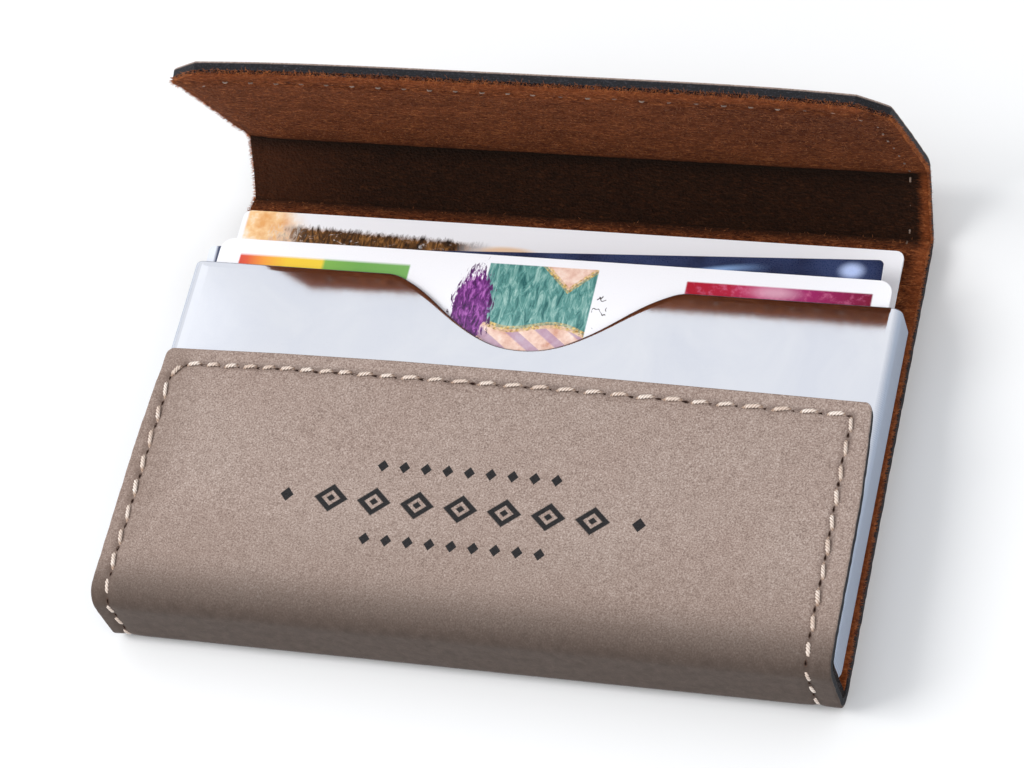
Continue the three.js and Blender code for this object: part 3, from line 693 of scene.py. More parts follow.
def front_print():
    n = Nodes("card_front_print")
    p = n.lay()
    x, y, z = n.split(p)
    white = srgb(243, 243, 247)
    # left band: red through yellow to green
    rainbow = n.ramp(n.range(x, -42.0, -18.0), [(0.0, srgb(206, 50, 44)), (0.07, srgb(220, 84, 44)), (0.16, srgb(238, 150, 50)), (0.3, srgb(240, 200, 60)), (0.50, srgb(238, 206, 66)), (0.52, srgb(128, 178, 84)), (0.72, srgb(112, 168, 84)), (1.0, srgb(120, 174, 96))])
    band_l = n.math("MULTIPLY", between(n, x, -41.4, -18.0, 0.1), between(n, y, 20.0, 23.1, 0.2))
    col = n.mix(band_l, white, rainbow)
    # right band: magenta with a pale bloom
    mag = n.ramp(n.range(x, 18.5, 42.2), [(0.0, srgb(170, 22, 44)), (0.24, srgb(176, 30, 60)), (0.42, srgb(190, 70, 120)), (0.6, srgb(160, 40, 104)), (1.0, srgb(120, 20, 50))])
    mag = n.mix(n.range(n.noise(p, 0.9, 4, 0.7), 0.5, 0.72, 0.0, 0.6), mag, srgb(226, 130, 168))
    bloom, _ = blob(n, p, 30.0, 22.6, 4.5, 1.4, 0.9)
    mag = n.mix(n.math("MULTIPLY", bloom, 0.6), mag, srgb(230, 190, 205))
    band_r = n.math("MULTIPLY", between(n, x, 18.6, 42.2, 0.1), between(n, y, 20.4, 23.4, 0.1))
    col = n.mix(band_r, col, mag)
    # middle panel: an abstract patchwork, brushed teal and peach fields parted by dotted gold trims
    hair = n.noise(n.scale(p, (2.2, 0.7, 1.0)), 1.0, 4, 0.65, 1.0)
    brush = n.noise(n.scale(p, (1.2, 0.35, 1.0)), 1.2, 4, 0.7, 0.8)
    teal = n.ramp(brush, [(0.32, srgb(30, 92, 92)), (0.5, srgb(92, 150, 144)), (0.68, srgb(168, 204, 196))])
    peach = n.ramp(n.noise(p, 0.5, 4, 0.65), [(0.3, srgb(206, 150, 128)), (0.55, srgb(238, 206, 190)), (0.75, srgb(250, 236, 228))])
    panel = n.math("MULTIPLY", between(n, x, -7.4, 7.0, 0.06), between(n, y, 8.0, 24.2, 0.06))
    # slanting trims: a chevron at the upper right and one long wave low down
    chev = n.math("SUBTRACT", y, n.math("SUBTRACT", n.math("MULTIPLY", n.math("ABSOLUTE", n.math("SUBTRACT", x, 3.6)), 0.95), -20.9))
    wave = n.math("SUBTRACT", y, n.math("ADD", n.math("MULTIPLY", n.math("SINE", n.math("MULTIPLY", x, 0.42)), 0.9), n.math("ADD", n.math("MULTIPLY", x, -0.12), 15.3)))
    patch = n.mix(n.range(chev, -0.03, 0.03), teal, peach)
    patch = n.mix(n.range(wave, -0.03, 0.03, 1.0, 0.0), patch, peach)
    streak = n.math("MULTIPLY", n.range(n.math("FRACT", n.math("ADD", n.math("MULTIPLY", x, 0.22), n.math("MULTIPLY", y, 0.3))), 0.55, 0.62), n.range(wave, -0.5, -0.4, 1.0, 0.0))
    patch = n.mix(n.math("MULTIPLY", streak, 0.6), patch, srgb(150, 120, 170))
    gold = n.ramp(n.noise(p, 3.0, 2), [(0.35, srgb(150, 112, 54)), (0.65, srgb(236, 206, 134))])
    bead = n.range(n.cells(p, 1.9), 0.3, 0.5, 1.0, 0.45)
    near = n.math("MINIMUM", n.math("ABSOLUTE", chev), n.math("ABSOLUTE", wave))
    trim = n.math("MULTIPLY", n.range(near, 0.42, 0.5, 1.0, 0.0), bead)
    patch = n.mix(trim, patch, gold)
    col = n.mix(panel, col, patch)
    purple = n.ramp(hair, [(0.34, srgb(52, 20, 66)), (0.5, srgb(112, 44, 124)), (0.66, srgb(184, 108, 190))])
    m1, _ = blob(n, p, -8.6, 17.2, 2.8, 6.4, 0.15, n.math("MULTIPLY", n.math("SUBTRACT", hair, 0.5), 1.5))
    col = n.mix(m1, col, purple)
    curl = n.range(n.math("ABSOLUTE", n.math("SUBTRACT", n.math("FRACT", n.math("MULTIPLY", n.noise(p, 0.45, 2), 5.0)), 0.5)), 0.04, 0.09, 1.0, 0.0)
    mc = n.math("MULTIPLY", n.math("MAXIMUM", blob(n, p, -12.4, 15.6, 1.5, 1.8, 0.1)[0], blob(n, p, 8.2, 18.0, 1.0, 2.6, 0.1)[0]), curl)
    col = n.mix(mc, col, srgb(50, 40, 44))
    return card_paper(n, col, 0.3, 0.25)


def navy_print():
    n = Nodes("card_navy_print")
    p = n.lay()
    x, y, z = n.split(p)
    base = n.ramp(n.noise(p, 0.12, 3, 0.6), [(0.3, srgb(22, 30, 56)), (0.7, srgb(52, 66, 104))])
    wave = n.math("ADD", y, n.math("MULTIPLY", n.math("SINE", n.math("MULTIPLY", x, 0.16)), 1.2))
    glow = n.range(n.math("ABSOLUTE", n.math("SUBTRACT", wave, 22.0)), 0.0, 0.8, 1.0, 0.0, True)
    near = n.range(n.math("ABSOLUTE", n.math("SUBTRACT", x, 20.0)), 2.0, 11.0, 1.0, 0.0, True)
    col = n.mix(n.math("MULTIPLY", n.math("MULTIPLY", glow, near), 0.85), base, srgb(150, 186, 236))
    b1, _ = blob(n, p, 40.6, 23.0, 2.2, 1.6, 0.8)
    col = n.mix(n.math("MULTIPLY", b1, 0.9), col, srgb(186, 204, 246))
    left = n.range(x, -43.6, -43.2, 1.0, 0.0)
    col = n.mix(left, col, srgb(226, 230, 240))
    return card_paper(n, col, 0.28, 0.3)


def tall_print():
    n = Nodes("card_tall_print")
    p = n.lay()
    x, y, z = n.split(p)
    white = srgb(246, 246, 250)
    slope = n.math("ADD", y, n.math("MULTIPLY", x, 0.075))
    # a feathery tan to brown drawing rising from the lower left
    strokes = n.noise(n.scale(p, (0.9, 0.35, 1.0)), 1.1, 5, 0.7, 1.4)
    feather = n.ramp(strokes, [(0.36, srgb(26, 17, 12)), (0.5, srgb(92, 60, 30)), (0.62, srgb(156, 108, 58)), (0.75, srgb(214, 170, 112))])
    top = n.range(x, -39.0, -9.0, 23.5, 22.3)
    shape = n.math("MULTIPLY", n.range(n.math("SUBTRACT", n.math("ADD", y, n.math("MULTIPLY", n.math("SUBTRACT", strokes, 0.5), 2.4)), top), -0.35, 0.35, 1.0, 0.0), n.math("MULTIPLY", n.range(n.math("ADD", x, n.math("MULTIPLY", n.math("SUBTRACT", strokes, 0.5), 12.0)), -40.0, -36.0, 0.0, 1.0), n.range(x, -14.0, -9.0, 1.0, 0.0)))
    wisp = n.math("MULTIPLY", n.range(n.noise(n.scale(p, (0.5, 1.2, 1.0)), 0.9, 4, 0.7, 1.5), 0.6, 0.7), 0.7)
    shape = n.math("MULTIPLY", shape, n.math("SUBTRACT", 1.0, wisp))
    col = n.mix(shape, white, feather)
    peach = n.ramp(n.noise(p, 0.45, 3, 0.6), [(0.35, srgb(232, 166, 96)), (0.55, srgb(246, 204, 150)), (0.7, srgb(252, 240, 226))])
    left = n.math("MULTIPLY", n.range(n.math("ADD", x, n.math("MULTIPLY", n.math("SUBTRACT", y, 20.0), 0.6)), -37.0, -32.0, 1.0, 0.0, True), n.range(x, -43.9, -43.6))
    col = n.mix(n.math("MULTIPLY", left, n.math("SUBTRACT", 1.0, shape)), col, peach)
    o1, _ = blob(n, p, -7.0, 21.4, 5.0, 1.1, 0.6)
    col = n.mix(n.math("MULTIPLY", o1, 0.7), col, srgb(240, 186, 120))
    o2 = n.math("MULTIPLY", n.range(x, 43.6, 43.9), n.range(y, 15.0, 17.0, 1.0, 0.0))
    col = n.mix(o2, col, srgb(222, 112, 60))
    return card_paper(n, col, 0.34, 0.12)


# ------------------------------------------------------------------ camera (before the pieces, so it is always there)
cam = bpy.data.objects.new("camera", bpy.data.cameras.new("camera"))
bpy.context.scene.collection.objects.link(cam)
bpy.context.scene.camera = cam
cam.data.sensor_fit = "HORIZONTAL"
cam.data.sensor_width = 36.0
cam.data.lens = 127.9
cam.data.clip_start, cam.data.clip_end = 0.01, 20.0
rx = Vector((0.9468379529, 0.2171116835, -0.2374034705))
ry = -Vector((0.0731600786, -0.8639178578, -0.4982906159))
rz = -Vector((-0.3132818121, 0.4544320102, -0.8338741238))
m = Matrix((rx, ry, rz)).transposed().to_4x4()
m.translation = Vector((0.1410622, -0.2030956, 0.3854641))
cam.matrix_world = m

# ------------------------------------------------------------------ the leather skin
face, inside, core = leather_face(), leather_back(), leather_core()
suede_face, suede_edge = suede("suede_lining", False), suede("suede_lining_edge", True)


def leather_top(u, v, e):
    wave = 0.045 * bumpy(u * 0.35, v * 0.22, 0.0) + 0.02 * bumpy(u * 1.1, v * 0.9, 2.0)
    press = np.where(u > U_BACK0 - 3, 0.35, 1.0)  # the back lies flat on what it stands on
    crease = 0.05 * np.exp(-(((u - U_A) / 1.1) ** 2)) * bumpy(v * 1.3, u * 3.0, 1.0) + 0.05 * np.exp(-(((u - U_B) / 1.1) ** 2)) * bumpy(v * 1.1, u * 3.0, 5.0)
    return 0.03 + groove(u, v) + (wave * press + crease) * smooth(e, 0.0, 1.2)


def leather_bottom(u, v, e):
    return np.full(np.broadcast(u, v).shape, LEATHER_T)


dense = [(0.9, 3.0, 0.25), (U_A - 3, U_A + 3, 0.25), (U_B - 3, U_B + 3, 0.25), (U_END - 7.0, U_END - 1.2, 0.25), (U_FOLD1 - 1, U_BACK0 + 1, 0.3)]
us_low = stations(0.0, U_SPLIT, 0.45, (True, False), dense)
us_high = stations(U_SPLIT, U_END, 0.45, (False, True), dense)
leather_low = slab("leather_skin_case", us_low, (True, False), leather_top, leather_bottom, 0.22, 0.03, 0.22, 0.9, 5.2, [face, inside, core])
leather_high = slab("leather_skin_flap", us_high, (False, True), leather_top, leather_bottom, 0.22, 0.03, 0.22, 0.9, 5.2, [face, inside, core])


# ------------------------------------------------------------------ the suede lining
def pile(u, v):
    return 0.035 * bumpy(u * 2.3, v * 2.1, 0.0) + 0.03 * bumpy(u * 5.3, v * 4.9, 3.0) + 0.04 * bumpy(u * 0.3, v * 0.25, 1.0)


def lining_depth(u):
    """Depth of the lining's free face below the strip's outer face."""
    d = np.interp(u, [0, U_FOLD1 - 1, U_FOLD1 + 3, U_BACK0, U_BACK0 + 3, U_A - 2.6, U_A + 0.4, U_END],
                  [1.58, 1.58, 2.2, 2.3, 3.2, 3.2, 2.38, 2.38])
    return d


def lining_top(u, v, e):
    """Underside of the lining: on the leather at the rim, raised over each board."""
    d = np.full(np.broadcast(u, v).shape, LEATHER_T + 0.03)
    bx = HW - 4.5 + 0.15
    over = np.abs(v) < bx
    back = (u > u_back(-30.75)) & (u < u_back(27.45))
    spine = (u > U_A + 1.9) & (u < U_B - 1.9)
    flap = (u > U_B + 2.1) & (u < U_END - 4.3) & (np.abs(v) < bx - np.clip(u - (U_END - 7.4), 0, None))
    bottom = (u > U_FOLD1 + 3.0) & (u < U_BACK0 - 3.0)
    d = np.where(over & back, 2.44, d)
    d = np.where(over & spine, 1.92, d)
    d = np.where(flap, 1.92, d)
    d = np.where(over & bottom, 1.95, d)
    return d


def lining_face(u, v, e):
    seam = 0.55 * groove(u, v) * (u > u_back(17.0))
    free = smooth(u, u_back(16.0), u_back(18.0))
    fuzz = pile(u, v) * free
    # glued down next to the cut edge, slightly cushioned over the boards
    pressed = (0.12 + 0.42 * smooth(u, U_B - 1, U_B + 4)) * (1 - smooth(e, 0.0, 3.0))
    return lining_depth(u) - seam * free - pressed * free + fuzz * smooth(e, 0.0, 0.5)


us_low2 = stations(0.0, U_SPLIT, 0.6, (False, False), [(u_back(14.0), U_SPLIT, 0.3)])
us_high2 = stations(U_SPLIT, U_END, 0.3, (False, True), [(U_B - 2.5, U_B + 2.5, 0.2)])
lining_low = slab("suede_lining_case", us_low2, (True, False), lining_top, lining_face, 0.03, 0.16, 0.3, 0.45, 5.0, [inside, suede_face, suede_edge], 6, 0.16)
lining_high = slab("suede_lining_flap", us_high2, (False, True), lining_top, lining_face, 0.03, 0.16, 0.3, 0.45, 5.0, [inside, suede_face, suede_edge], 6, 0.16)


# ------------------------------------------------------------------ loose fibres of the suede
def tufts(name, roots, dirs, length, radius, mats, seed, curl=0.5, steps=3):
    """Thin curved hairs: roots, unit directions and lengths in mm, in the row frame."""
    rng = np.random.default_rng(seed)
    k = len(roots)
    side = rng.normal(size=(k, 3))
    side -= (side * dirs).sum(1, keepdims=True) * dirs
    side /= np.linalg.norm(side, axis=1, keepdims=True)
    bend = np.cross(dirs, side)
    pts = []
    for s in range(steps + 1):
        t = s / steps
        c = roots + dirs * (length * t)[:, None] + side * (length * curl * t * t)[:, None] * rng.uniform(0.4, 1.0, (k, 1))
        if s == steps:
            pts.append(c[:, None, :])
            continue
        r = radius * (1 - 0.65 * t)
        ring = [c + r[:, None] * (math.cos(a) * side + math.sin(a) * bend) for a in (0, 2 * math.pi / 3, 4 * math.pi / 3)]
        pts.append(np.stack(ring, 1))
    block = np.concatenate(pts, 1)  # (k, 3*steps+1, 3)
    per = block.shape[1]
    faces = []
    for s in range(steps - 1):
        for a in range(3):
            b = (a + 1) % 3
            faces.append([3 * s + a, 3 * s + b, 3 * s + 3 + b, 3 * s + 3 + a])
    quads = np.array(faces)
    tip = np.array([[3 * (steps - 1) + a, 3 * (steps - 1) + (a + 1) % 3, 3 * steps] for a in range(3)])
    base = (np.arange(k) * per)[:, None, None]
    q = (quads[None] + base).reshape(-1, 4).tolist()
    t3 = (tip[None] + base).reshape(-1, 3).tolist()
    verts = block.reshape(-1, 3)
    lay = np.repeat(roots, per, 0)
    return make(name, verts, q + t3, mats, None, lay)


def outward(u):
    return np.stack([np.zeros_like(u), np.interp(u, uu, ny), np.interp(u, uu, nz)], -1)


def along(u):
    return np.stack([np.zeros_like(u), np.interp(u, uu, ty), np.interp(u, uu, tz)], -1)


def unit(a):
    return a / np.linalg.norm(a, axis=1, keepdims=True)


def fringe(name, u0, u1, n_side, n_end, seed):
    rng = np.random.default_rng(seed)
    roots, dirs, lens = [], [], []
    for sgn in (-1, 1):
        u = rng.uniform(u0, u1, n_side)
        l, r = edges(u)
        v = (l if sgn < 0 else r) - sgn * 0.03
        dep = np.array(lining_face(u, v, np.zeros_like(u)))
        d = dep - np.abs(rng.normal(0.0, 0.38, n_side))
        d = np.clip(d, LEATHER_T + 0.05, dep - 0.08)
        roots.append(place(u, v, d))
        cham = (u > U_END - CHAMFER).astype(float)[:, None]
        dirs.append(np.array([sgn, 0, 0]) * (1 - 0.3 * cham) + 0.7 * cham * along(u) - outward(u) * rng.uniform(-0.2, 0.9, (n_side, 1)) + rng.normal(0, 0.3, (n_side, 3)))
        lens.append(rng.uniform(0.2, 0.62, n_side))
    if n_end:
        l, r = edges(np.array([U_END]))
        v = rng.uniform(l[0], r[0], n_end)
        u = np.full(n_end, U_END - 0.03)
        dep = lining_face(u, v, np.zeros_like(u))
        d = np.clip(dep - np.abs(rng.normal(0.0, 0.35, n_end)), LEATHER_T + 0.05, dep - 0.08)
        roots.append(place(u, v, d))
        dirs.append(along(u) - outward(u) * rng.uniform(-0.2, 1.0, (n_end, 1)) + rng.normal(0, 0.3, (n_end, 3)))
        lens.append(rng.uniform(0.2, 0.8, n_end))
    roots, dirs, lens = np.concatenate(roots), unit(np.concatenate(dirs)), np.concatenate(lens)
    return tufts(name, roots, dirs, lens, np.full(len(roots), 0.03), [fibre_edge], seed + 1)


def nap(name, u0, u1, n, seed):
    rng = np.random.default_rng(seed)
    u = rng.uniform(u0, u1, n)
    l, r = edges(u)
    v = l + 0.2 + (r - l - 0.4) * rng.uniform(0, 1, n)
    e = np.minimum(v - l, r - v)
    d = lining_face(u, v, np.minimum(e, U_END - u)) - 0.03
    roots = place(u, v, d)
    dirs = unit(-outward(u) * 0.08 + along(u) * rng.normal(-0.25, 0.5, (n, 1)) + np.stack([rng.normal(0.2, 0.6, n), np.zeros(n), np.zeros(n)], -1))
    return tufts(name, roots, dirs, rng.uniform(0.25, 0.6, n), np.full(n, 0.03), [fibre_nap], seed + 1, 0.25, 2)


fibre_edge = fibre("suede_fringe", srgb(104, 46, 18), srgb(200, 120, 66))
fibre_nap = fibre("suede_nap", srgb(84, 38, 15), srgb(204, 124, 72))
fringe_low = fringe("suede_fringe_case", u_back(-30.0), U_SPLIT, 1700, 0, 21)
fringe_high = fringe("suede_fringe_flap", U_SPLIT, U_END, 1500, 3600, 23)
nap_low = nap("suede_nap_case", u_back(17.5), U_A - 1.0, 2600, 25)
nap_high = nap("suede_nap_flap", U_B + 2.2, U_END - 0.3, 17000, 27)


# ------------------------------------------------------------------ the seam: one twisted stitch between each pair of holes
def stitches(name, keep, inner, mat, seed):
    rng = np.random.default_rng(seed)
    b = Build()
    n = len(HOLES)
    ring, steps = 14, 26
    for i in range(n):
        a, c = HOLES[i], HOLES[(i + 1) % n]
        jitter = rng.normal(0, 1, 6)
        um = (a[0] + c[0]) / 2
        if not keep(um):
            continue
        length = float(np.hypot(*(c - a)))
        dvec = (c - a) / length
        side = np.array([-dvec[1], dvec[0]])
        t = np.linspace(0, 0.86 if not inner else 1.0, steps + 1)
        if inner:
            # only a short loop of the lower thread shows above the pile
            lift = smooth(t, 0.36, 0.48) * (1 - smooth(t, 0.58, 0.70))
            R = 0.10
            slant = 0.05
            base = lining_face(np.array([um]), np.array([(a[1] + c[1]) / 2]), np.array([2.4]))[0]
            depth = base - 0.55 + (0.52 + 0.05 * jitter[1] - (0.2 if (a[1] < -40 and um < U_END - 5) else 0.0)) * lift
        else:
            # comes up gradually, lies fat on the leather, then dives into the next hole
            lift = smooth(t, 0.02, 0.26) * (1 - smooth(t, 0.56, 0.76))
            R = 0.215 + 0.012 * jitter[1]
            slant = -0.27 + 0.03 * jitter[0]
            sunk = 0.3 * smooth(um, U_FOLD1 - 2.0, U_FOLD1 + 1.5) * (1 - smooth(um, U_A - 1.0, U_A + 1.0))
            depth = 0.03 + 0.12 + sunk + 0.42 * (1 - lift) - R * 0.75 + 0.25 * smooth(t, 0.7, 0.86)
        pu = a[0] + (c[0] - a[0]) * t + side[0] * slant * (0.5 - t) * 2
        pv = a[1] + (c[1] - a[1]) * t + side[1] * slant * (0.5 - t) * 2
        p = place(pu, pv, depth)
        tang = np.gradient(p, axis=0)
        tang /= np.linalg.norm(tang, axis=1, keepdims=True)
        out = outward(pu) * (1 if not inner else -1)
        out = out - (out * tang).sum(1, keepdims=True) * tang
        out /= np.linalg.norm(out, axis=1, keepdims=True)
        bi = np.cross(tang, out)
        turns = length / 1.25
        phase = jitter[2] + 2 * math.pi * turns * t
        ang = np.linspace(0, 2 * math.pi, ring + 1)
        # three plies: a lobed section that turns along the stitch, thinner where it enters the leather
        ply = np.cos(3 * (ang[None, :] - phase[:, None]))
        rad = R * (1 + 0.2 * ply) * (0.62 + 0.38 * lift[:, None])
        q = p[:, None, :] + rad[..., None] * (np.cos(ang)[None, :, None] * bi[:, None, :] * 1.08 + np.sin(ang)[None, :, None] * out[:, None, :] * 0.92)
        shape = q.shape[:2] + (1,)
        lay = np.concatenate([np.broadcast_to(pu[:, None, None] + pv[:, None, None], shape), np.broadcast_to(lift[:, None, None], shape), ply[..., None]], -1)
        b.grid(q, lay, 0)
    return b.done(name, [mat])


def hole_shadows(name, keep, mat, seed):
    """Painted shadow: the long dark mouth of each needle hole, just after its stitch dives in, as a dark patch on the
    leather.
    """
    rng = np.random.default_rng(seed)
    b = Build()
    n = len(HOLES)
    for i in range(n):
        a, c = HOLES[i], HOLES[(i + 1) % n]
        j = rng.normal(0, 1, 3)
        if not keep((a[0] + c[0]) / 2):
            continue
        length = float(np.hypot(*(c - a)))
        dvec = (c - a) / length
        side = np.array([-dvec[1], dvec[0]])
        centre = a + (c - a) * (0.86 + 0.015 * j[0]) - side * 0.15
        ra, rb = min(0.44, length * 0.15) * (1 + 0.1 * j[1]), 0.17 * (1 + 0.12 * j[2])
        th, rr = np.meshgrid(np.linspace(0, 2 * math.pi, 19), np.array([0.0, 0.45, 0.8, 1.0]))
        x, y = rr * np.cos(th) * ra, rr * np.sin(th) * rb * (1 + 0.35 * np.cos(th))
        pu, pv = centre[0] + dvec[0] * x + side[0] * y, centre[1] + dvec[1] * x + side[1] * y
        e = np.full(pu.shape, 2.0)
        depth = leather_top(pu, pv, e) - 0.035 + 0.03 * (1 - rr ** 2)
        b.grid(place(pu, pv, depth), np.stack([pv, pu, rr], -1), 0)
    return b.done(name, [mat])


thread = thread_mat("seam_thread", srgb(238, 226, 216), srgb(208, 186, 170))
bobbin = thread_mat("bobbin_thread", srgb(150, 128, 112), srgb(104, 80, 64))
seam_low = stitches("seam_stitches_case", lambda u: u < U_SPLIT, False, thread, 31)
seam_high = stitches("seam_stitches_flap", lambda u: u >= U_SPLIT, False, thread, 33)
hole_shadow = hole_shadow_mat()
hole_shadow_low = hole_shadows("painted_hole_shadows_case", lambda u: u < U_SPLIT, hole_shadow, 41)
hole_shadow_high = hole_shadows("painted_hole_shadows_flap", lambda u: u >= U_SPLIT, hole_shadow, 43)
bob_low = stitches("bobbin_stitches_case", lambda u: u_back(17.0) < u < U_SPLIT, True, bobbin, 35)
bob_high = stitches("bobbin_stitches_flap", lambda u: u >= U_SPLIT, True, bobbin, 37)

# ------------------------------------------------------------------ the metal card box: one bent sheet
BX, SCOOP = BOX_W / 2, [(0, 9.8), (1.5, 9.72), (3, 9.48), (4.5, 9.02), (6, 8.36), (7.5, 7.5), (9, 6.52), (10.5, 5.42), (12, 4.22), (13.2, 3.26), (14.4, 2.38), (15.6, 1.6), (16.8, 0.94), (17.9, 0.42), (18.6, 0.14), (19, 0)]


def drop(x):
    """Depth of the thumb scoop below the mouth, smoothed."""
    xs = np.array([s[0] for s in SCOOP])
    ds = np.array([s[1] for s in SCOOP])
    fine = np.linspace(0, 21, 421)
    d = np.interp(fine, xs, ds, right=0.0)
    for _ in range(4):
        d = np.convolve(np.concatenate([d[9:0:-1], d, np.full(9, d[-1])]), np.ones(19) / 19, "valid")
    return np.interp(np.abs(x), fine, d, right=0.0)


def loop_points():
    """Stations round the box seen from above its mouth: (centre x, centre z, normal x, normal z)."""
    z0, z1, r = BOX_Z0, BOX_Z0 + BOX_D, BOX_SIDE_R
    cx, pts = BX - r, []
    xs_front = np.unique(np.concatenate([np.linspace(-cx, -20, 28), np.linspace(-20, 20, 101), np.linspace(20, cx, 28)]))
    for x in xs_front[::-1]:
        pts.append((x, z1 - r, 0.0, 1.0))
    for a in np.linspace(90, 180, 11)[1:-1]:
        pts.append((-cx, z1 - r, math.cos(math.radians(a)), math.sin(math.radians(a))))
    for z in np.linspace(z1 - r, z0 + r, 8):
        pts.append((-cx, z, -1.0, 0.0))
    for a in np.linspace(180, 270, 11)[1:-1]:
        pts.append((-cx, z0 + r, math.cos(math.radians(a)), math.sin(math.radians(a))))
    for x in np.linspace(-cx, cx, 40):
        pts.append((x, z0 + r, 0.0, -1.0))
    for a in np.linspace(270, 360, 11)[1:-1]:
        pts.append((cx, z0 + r, math.cos(math.radians(a)), math.sin(math.radians(a))))
    for z in np.linspace(z0 + r, z1 - r, 8):
        pts.append((cx, z, 1.0, 0.0))
    for a in np.linspace(0, 90, 11)[1:-1]:
        pts.append((cx, z1 - r, math.cos(math.radians(a)), math.sin(math.radians(a))))
    return np.array(pts)


def card_box():
    L = loop_points()
    r = BOX_SIDE_R
    front = L[:, 3] > 0.999
    top = np.where(front, MOUTH_Y - drop(L[:, 0]), MOUTH_Y)
    b = Build()

    def wall(inset, y):
        rr = np.clip(r - inset, 0.05, None)
        x, z = L[:, 0] + L[:, 2] * rr, L[:, 1] + L[:, 3] * rr
        return np.stack([x, y, z], -1)

    edge = 0.14
    rows, lays = [], []
    # outside: bottom bend, wall, rolled edge; then down the inside
    for k in range(7):
        f = math.radians(90 * k / 6)
        ins = BOX_BOTTOM_R * (1 - math.sin(f))
        y = np.full(len(L), BOX_BOTTOM_Y + BOX_BOTTOM_R * (1 - math.cos(f)))
        rows.append(wall(ins, y))
    t = np.concatenate([np.linspace(0, 0.8, 14)[1:], np.linspace(0.8, 1, 14)[1:]])
    y0 = BOX_BOTTOM_Y + BOX_BOTTOM_R
    for s in t:
        rows.append(wall(0.0, y0 + (top - edge - y0) * s))
    n_out = len(rows)
    outer = np.stack(rows, 0)
    lip = [outer[-1]]
    for a in (22.5, 45, 67.5, 90):
        f = math.radians(a)
        lip.append(wall(edge * (1 - math.cos(f)), top - edge + edge * math.sin(f)))
    for a in (0, 30, 60, 90):
        f = math.radians(a)
        lip.append(wall(BOX_T - edge + edge * math.sin(f), top - edge + edge * math.cos(f)))
    lip = np.stack(lip, 0)
    inner = [lip[-1]]
    yi = BOX_BOTTOM_Y + BOX_T + 0.5
    for s in np.linspace(0, 1, 10)[1:]:
        inner.append(wall(BOX_T, top - edge + (yi - top + edge) * s))
    for k in range(1, 5):
        f = math.radians(90 * k / 4)
        inner.append(wall(BOX_T + 0.5 * (1 - math.cos(f)), np.full(len(L), yi - 0.5 * math.sin(f))))
    inner = np.stack(inner, 0)

    def close(g):
        return np.concatenate([g, g[:, :1]], 1)

    for g, mt in ((outer, 0), (lip, 1), (inner, 0)):
        g = close(g)
        b.grid(g, g.copy(), mt)
    # flat bottoms, as fans of triangles round the middle of each ring
    def cap(ring, flip):
        c = ring.mean(0)
        p = np.concatenate([ring, c[None]], 0)
        k = len(ring)
        f = [[i, (i + 1) % k, k] if flip else [(i + 1) % k, i, k] for i in range(k)]
        b.tris(p, p.copy(), f, 0)
    cap(outer[0], False)
    cap(inner[-1], False)
    ob = b.done("satin_card_box", [satin_metal(), metal_edge()])
    import bmesh
    bm = bmesh.new()
    bm.from_mesh(ob.data)
    bmesh.ops.remove_doubles(bm, verts=bm.verts, dist=1e-7)
    bmesh.ops.recalc_face_normals(bm, faces=bm.faces)
    bm.to_mesh(ob.data)
    bm.free()
    ob.data.polygons.foreach_set("use_smooth", np.full(len(ob.data.polygons), True, bool))
    try:
        ob.data.set_sharp_from_angle(angle=math.radians(50))
    except AttributeError:
        pass
    return ob


box_piece = card_box()


# ------------------------------------------------------------------ cards
def card(name, cx, cy0, z0, tilt, w, h, r, t, bow, mat, edge_mat):
    """A rounded card with a slight bow, printed on its upper side."""
    ys = np.unique(np.round(np.concatenate([r - r * np.cos(np.linspace(0, math.pi / 2, 12)), np.linspace(r, h - r, 44), h - r + r * np.sin(np.linspace(0, math.pi / 2, 12))]), 5)) - h / 2
    cut = np.where(np.abs(ys) > h / 2 - r, r - np.sqrt(np.clip(r * r - (np.abs(ys) - (h / 2 - r)) ** 2, 0, None)), 0.0)
    n = 70
    s = np.linspace(-1, 1, n)
    s = np.sign(s) * (1 - (1 - np.abs(s)) ** 1.25)
    X = (w / 2 - cut)[:, None] * s[None, :]
    Y = np.repeat(ys[:, None], n, 1)
    ca, sa = math.cos(tilt), math.sin(tilt)

    def at(x, y, d):
        z = z0 + t - d + bow * (1 - (x / (w / 2)) ** 2)
        return np.stack([cx + x * ca - y * sa, cy0 + x * sa + y * ca, z], -1)

    b = Build()
    lay = np.stack([X, Y, np.zeros_like(X)], -1)
    b.grid(at(X, Y, 0.0), lay, 0, flip=True)
    b.grid(at(X, Y, t), lay + np.array([0, 0, -t]), 1)
    ring_x = np.concatenate([X[0, :], X[1:-1, -1], X[-1, ::-1], X[1:-1, 0][::-1]])
    ring_y = np.concatenate([Y[0, :], Y[1:-1, -1], Y[-1, ::-1], Y[1:-1, 0][::-1]])
    ring_x, ring_y = np.append(ring_x, ring_x[0]), np.append(ring_y, ring_y[0])
    ds = np.array([0.0, t * 0.33, t * 0.66, t])
    RX, RY, D = np.repeat(ring_x[:, None], 4, 1), np.repeat(ring_y[:, None], 4, 1), np.repeat(ds[None, :], len(ring_x), 0)
    b.grid(at(RX, RY, D), np.stack([RX, RY, -D], -1), 1, flip=False)
    ob = b.done(name, [mat, edge_mat])
    return ob


def plain_stock():
    n = Nodes("card_stock")
    return card_paper(n, n.ramp(n.noise(n.lay(), 2.5, 3, 0.6), [(0.3, srgb(226, 226, 230)), (0.7, srgb(244, 244, 247))]), 0.5)


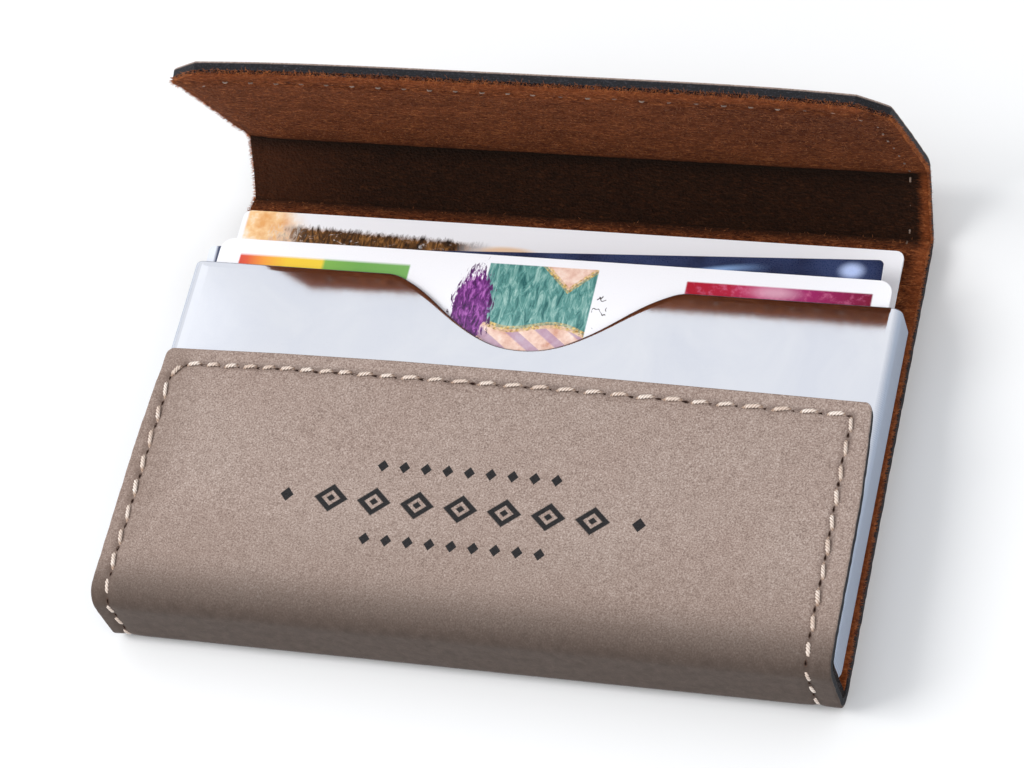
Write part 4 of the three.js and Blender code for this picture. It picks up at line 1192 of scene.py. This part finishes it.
stock = plain_stock()
CARD_W, CARD_H, CARD_T = 88.9, 50.8, 0.35
front_top = MOUTH_Y - 47.55 + BOX_T + 0.26 + CARD_H
lo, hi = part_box("navy_card")
card_front = card("card_front", 0.5, front_top - CARD_H / 2, 9.2, 0.0, CARD_W, CARD_H, 1.7, CARD_T, 0.06, front_print(), stock)
card_navy = card("card_navy", -0.05, float(lo.y + hi.y) / 2 / MM + 0.35, 8.8, math.radians(2.8), CARD_W, 49.3, 0.7, CARD_T, 0.0, navy_print(), stock)
card_tall = card("card_tall", -0.15, 27.6 - CARD_H / 2, 4.05, 0.0, CARD_W, CARD_H, 1.1, CARD_T, 0.12, tall_print(), stock)

# ------------------------------------------------------------------ who carries what
for ob in (leather_low, lining_low, fringe_low, nap_low, seam_low, bob_low, hole_shadow_low):
    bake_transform(ob)
for ob in (leather_high, lining_high, fringe_high, nap_high, seam_high, bob_high, hole_shadow_high):
    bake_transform(ob)
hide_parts("case_leather", "spine_leather")
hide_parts("flap_leather")
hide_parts("case_lining", "spine_lining")
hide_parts("flap_lining")
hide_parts("case_thread", "spine_thread_left", "spine_thread_right")
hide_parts("flap_thread")
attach(box_piece, "case")
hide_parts("card_box")
for ob, body, node, slot in ((card_front, "front_cards", "front_card", "card_white"), (card_navy, "front_cards", "navy_card", "card_navy"), (card_tall, "rear_card", "tall_card", "card_picture")):
    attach(ob, body)
    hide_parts(node)
board, nickel = board_mat(), magnet_mat()
for name, mat in (("back_board", board), ("bottom_board", board), ("spine_board", board), ("flap_board", board), ("magnet_left", nickel), ("magnet_right", nickel)):
    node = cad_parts[name]
    node.data.materials.clear()
    node.data.materials.append(mat)


# ------------------------------------------------------------------ floor and light
def floor():
    n = 40
    g = np.linspace(-1500, 1500, n)
    X, Y = np.meshgrid(g, g, indexing="ij")
    p = np.stack([X, Y, np.full_like(X, -0.05)], -1)
    b = Build()
    b.grid(p, p / 1000, 0)
    mt = Nodes("pale_floor")
    f = mt.noise(mt.lay(), 3.0, 3, 0.5)
    mt.set(color=mt.ramp(f, [(0.3, 0.80), (0.7, 0.83)]), rough=0.75, spec=0.2)
    ob = b.done("floor", [mt.mat])


floor()
world = bpy.data.worlds.new("soft_white")
bpy.context.scene.world = world
world.use_nodes = True
bg = world.node_tree.nodes["Background"]
bg.inputs[0].default_value = (0.95, 0.97, 1.0, 1.0)
bg.inputs[1].default_value = 0.88


def area(name, where, target, size, power, colour=(1, 1, 1)):
    d = bpy.data.lights.new(name, "AREA")
    d.shape, d.size, d.energy, d.color = "SQUARE", size, power, colour
    o = bpy.data.objects.new(name, d)
    bpy.context.scene.collection.objects.link(o)
    o.location = where
    o.rotation_euler = (Vector(target) - Vector(where)).to_track_quat("-Z", "Y").to_euler()


area("key", (-0.45, -0.15, 0.55), (0, 0, 0.01), 0.35, 3.2)
area("fill", (0.45, -0.2, 0.5), (0, 0, 0.01), 0.4, 0.55)
area("sheen", (-0.60, 0.425, 0.755), (-0.03, 0.01, 0.01), 0.28, 0.045)
bpy.context.scene.view_settings.view_transform = "Standard"
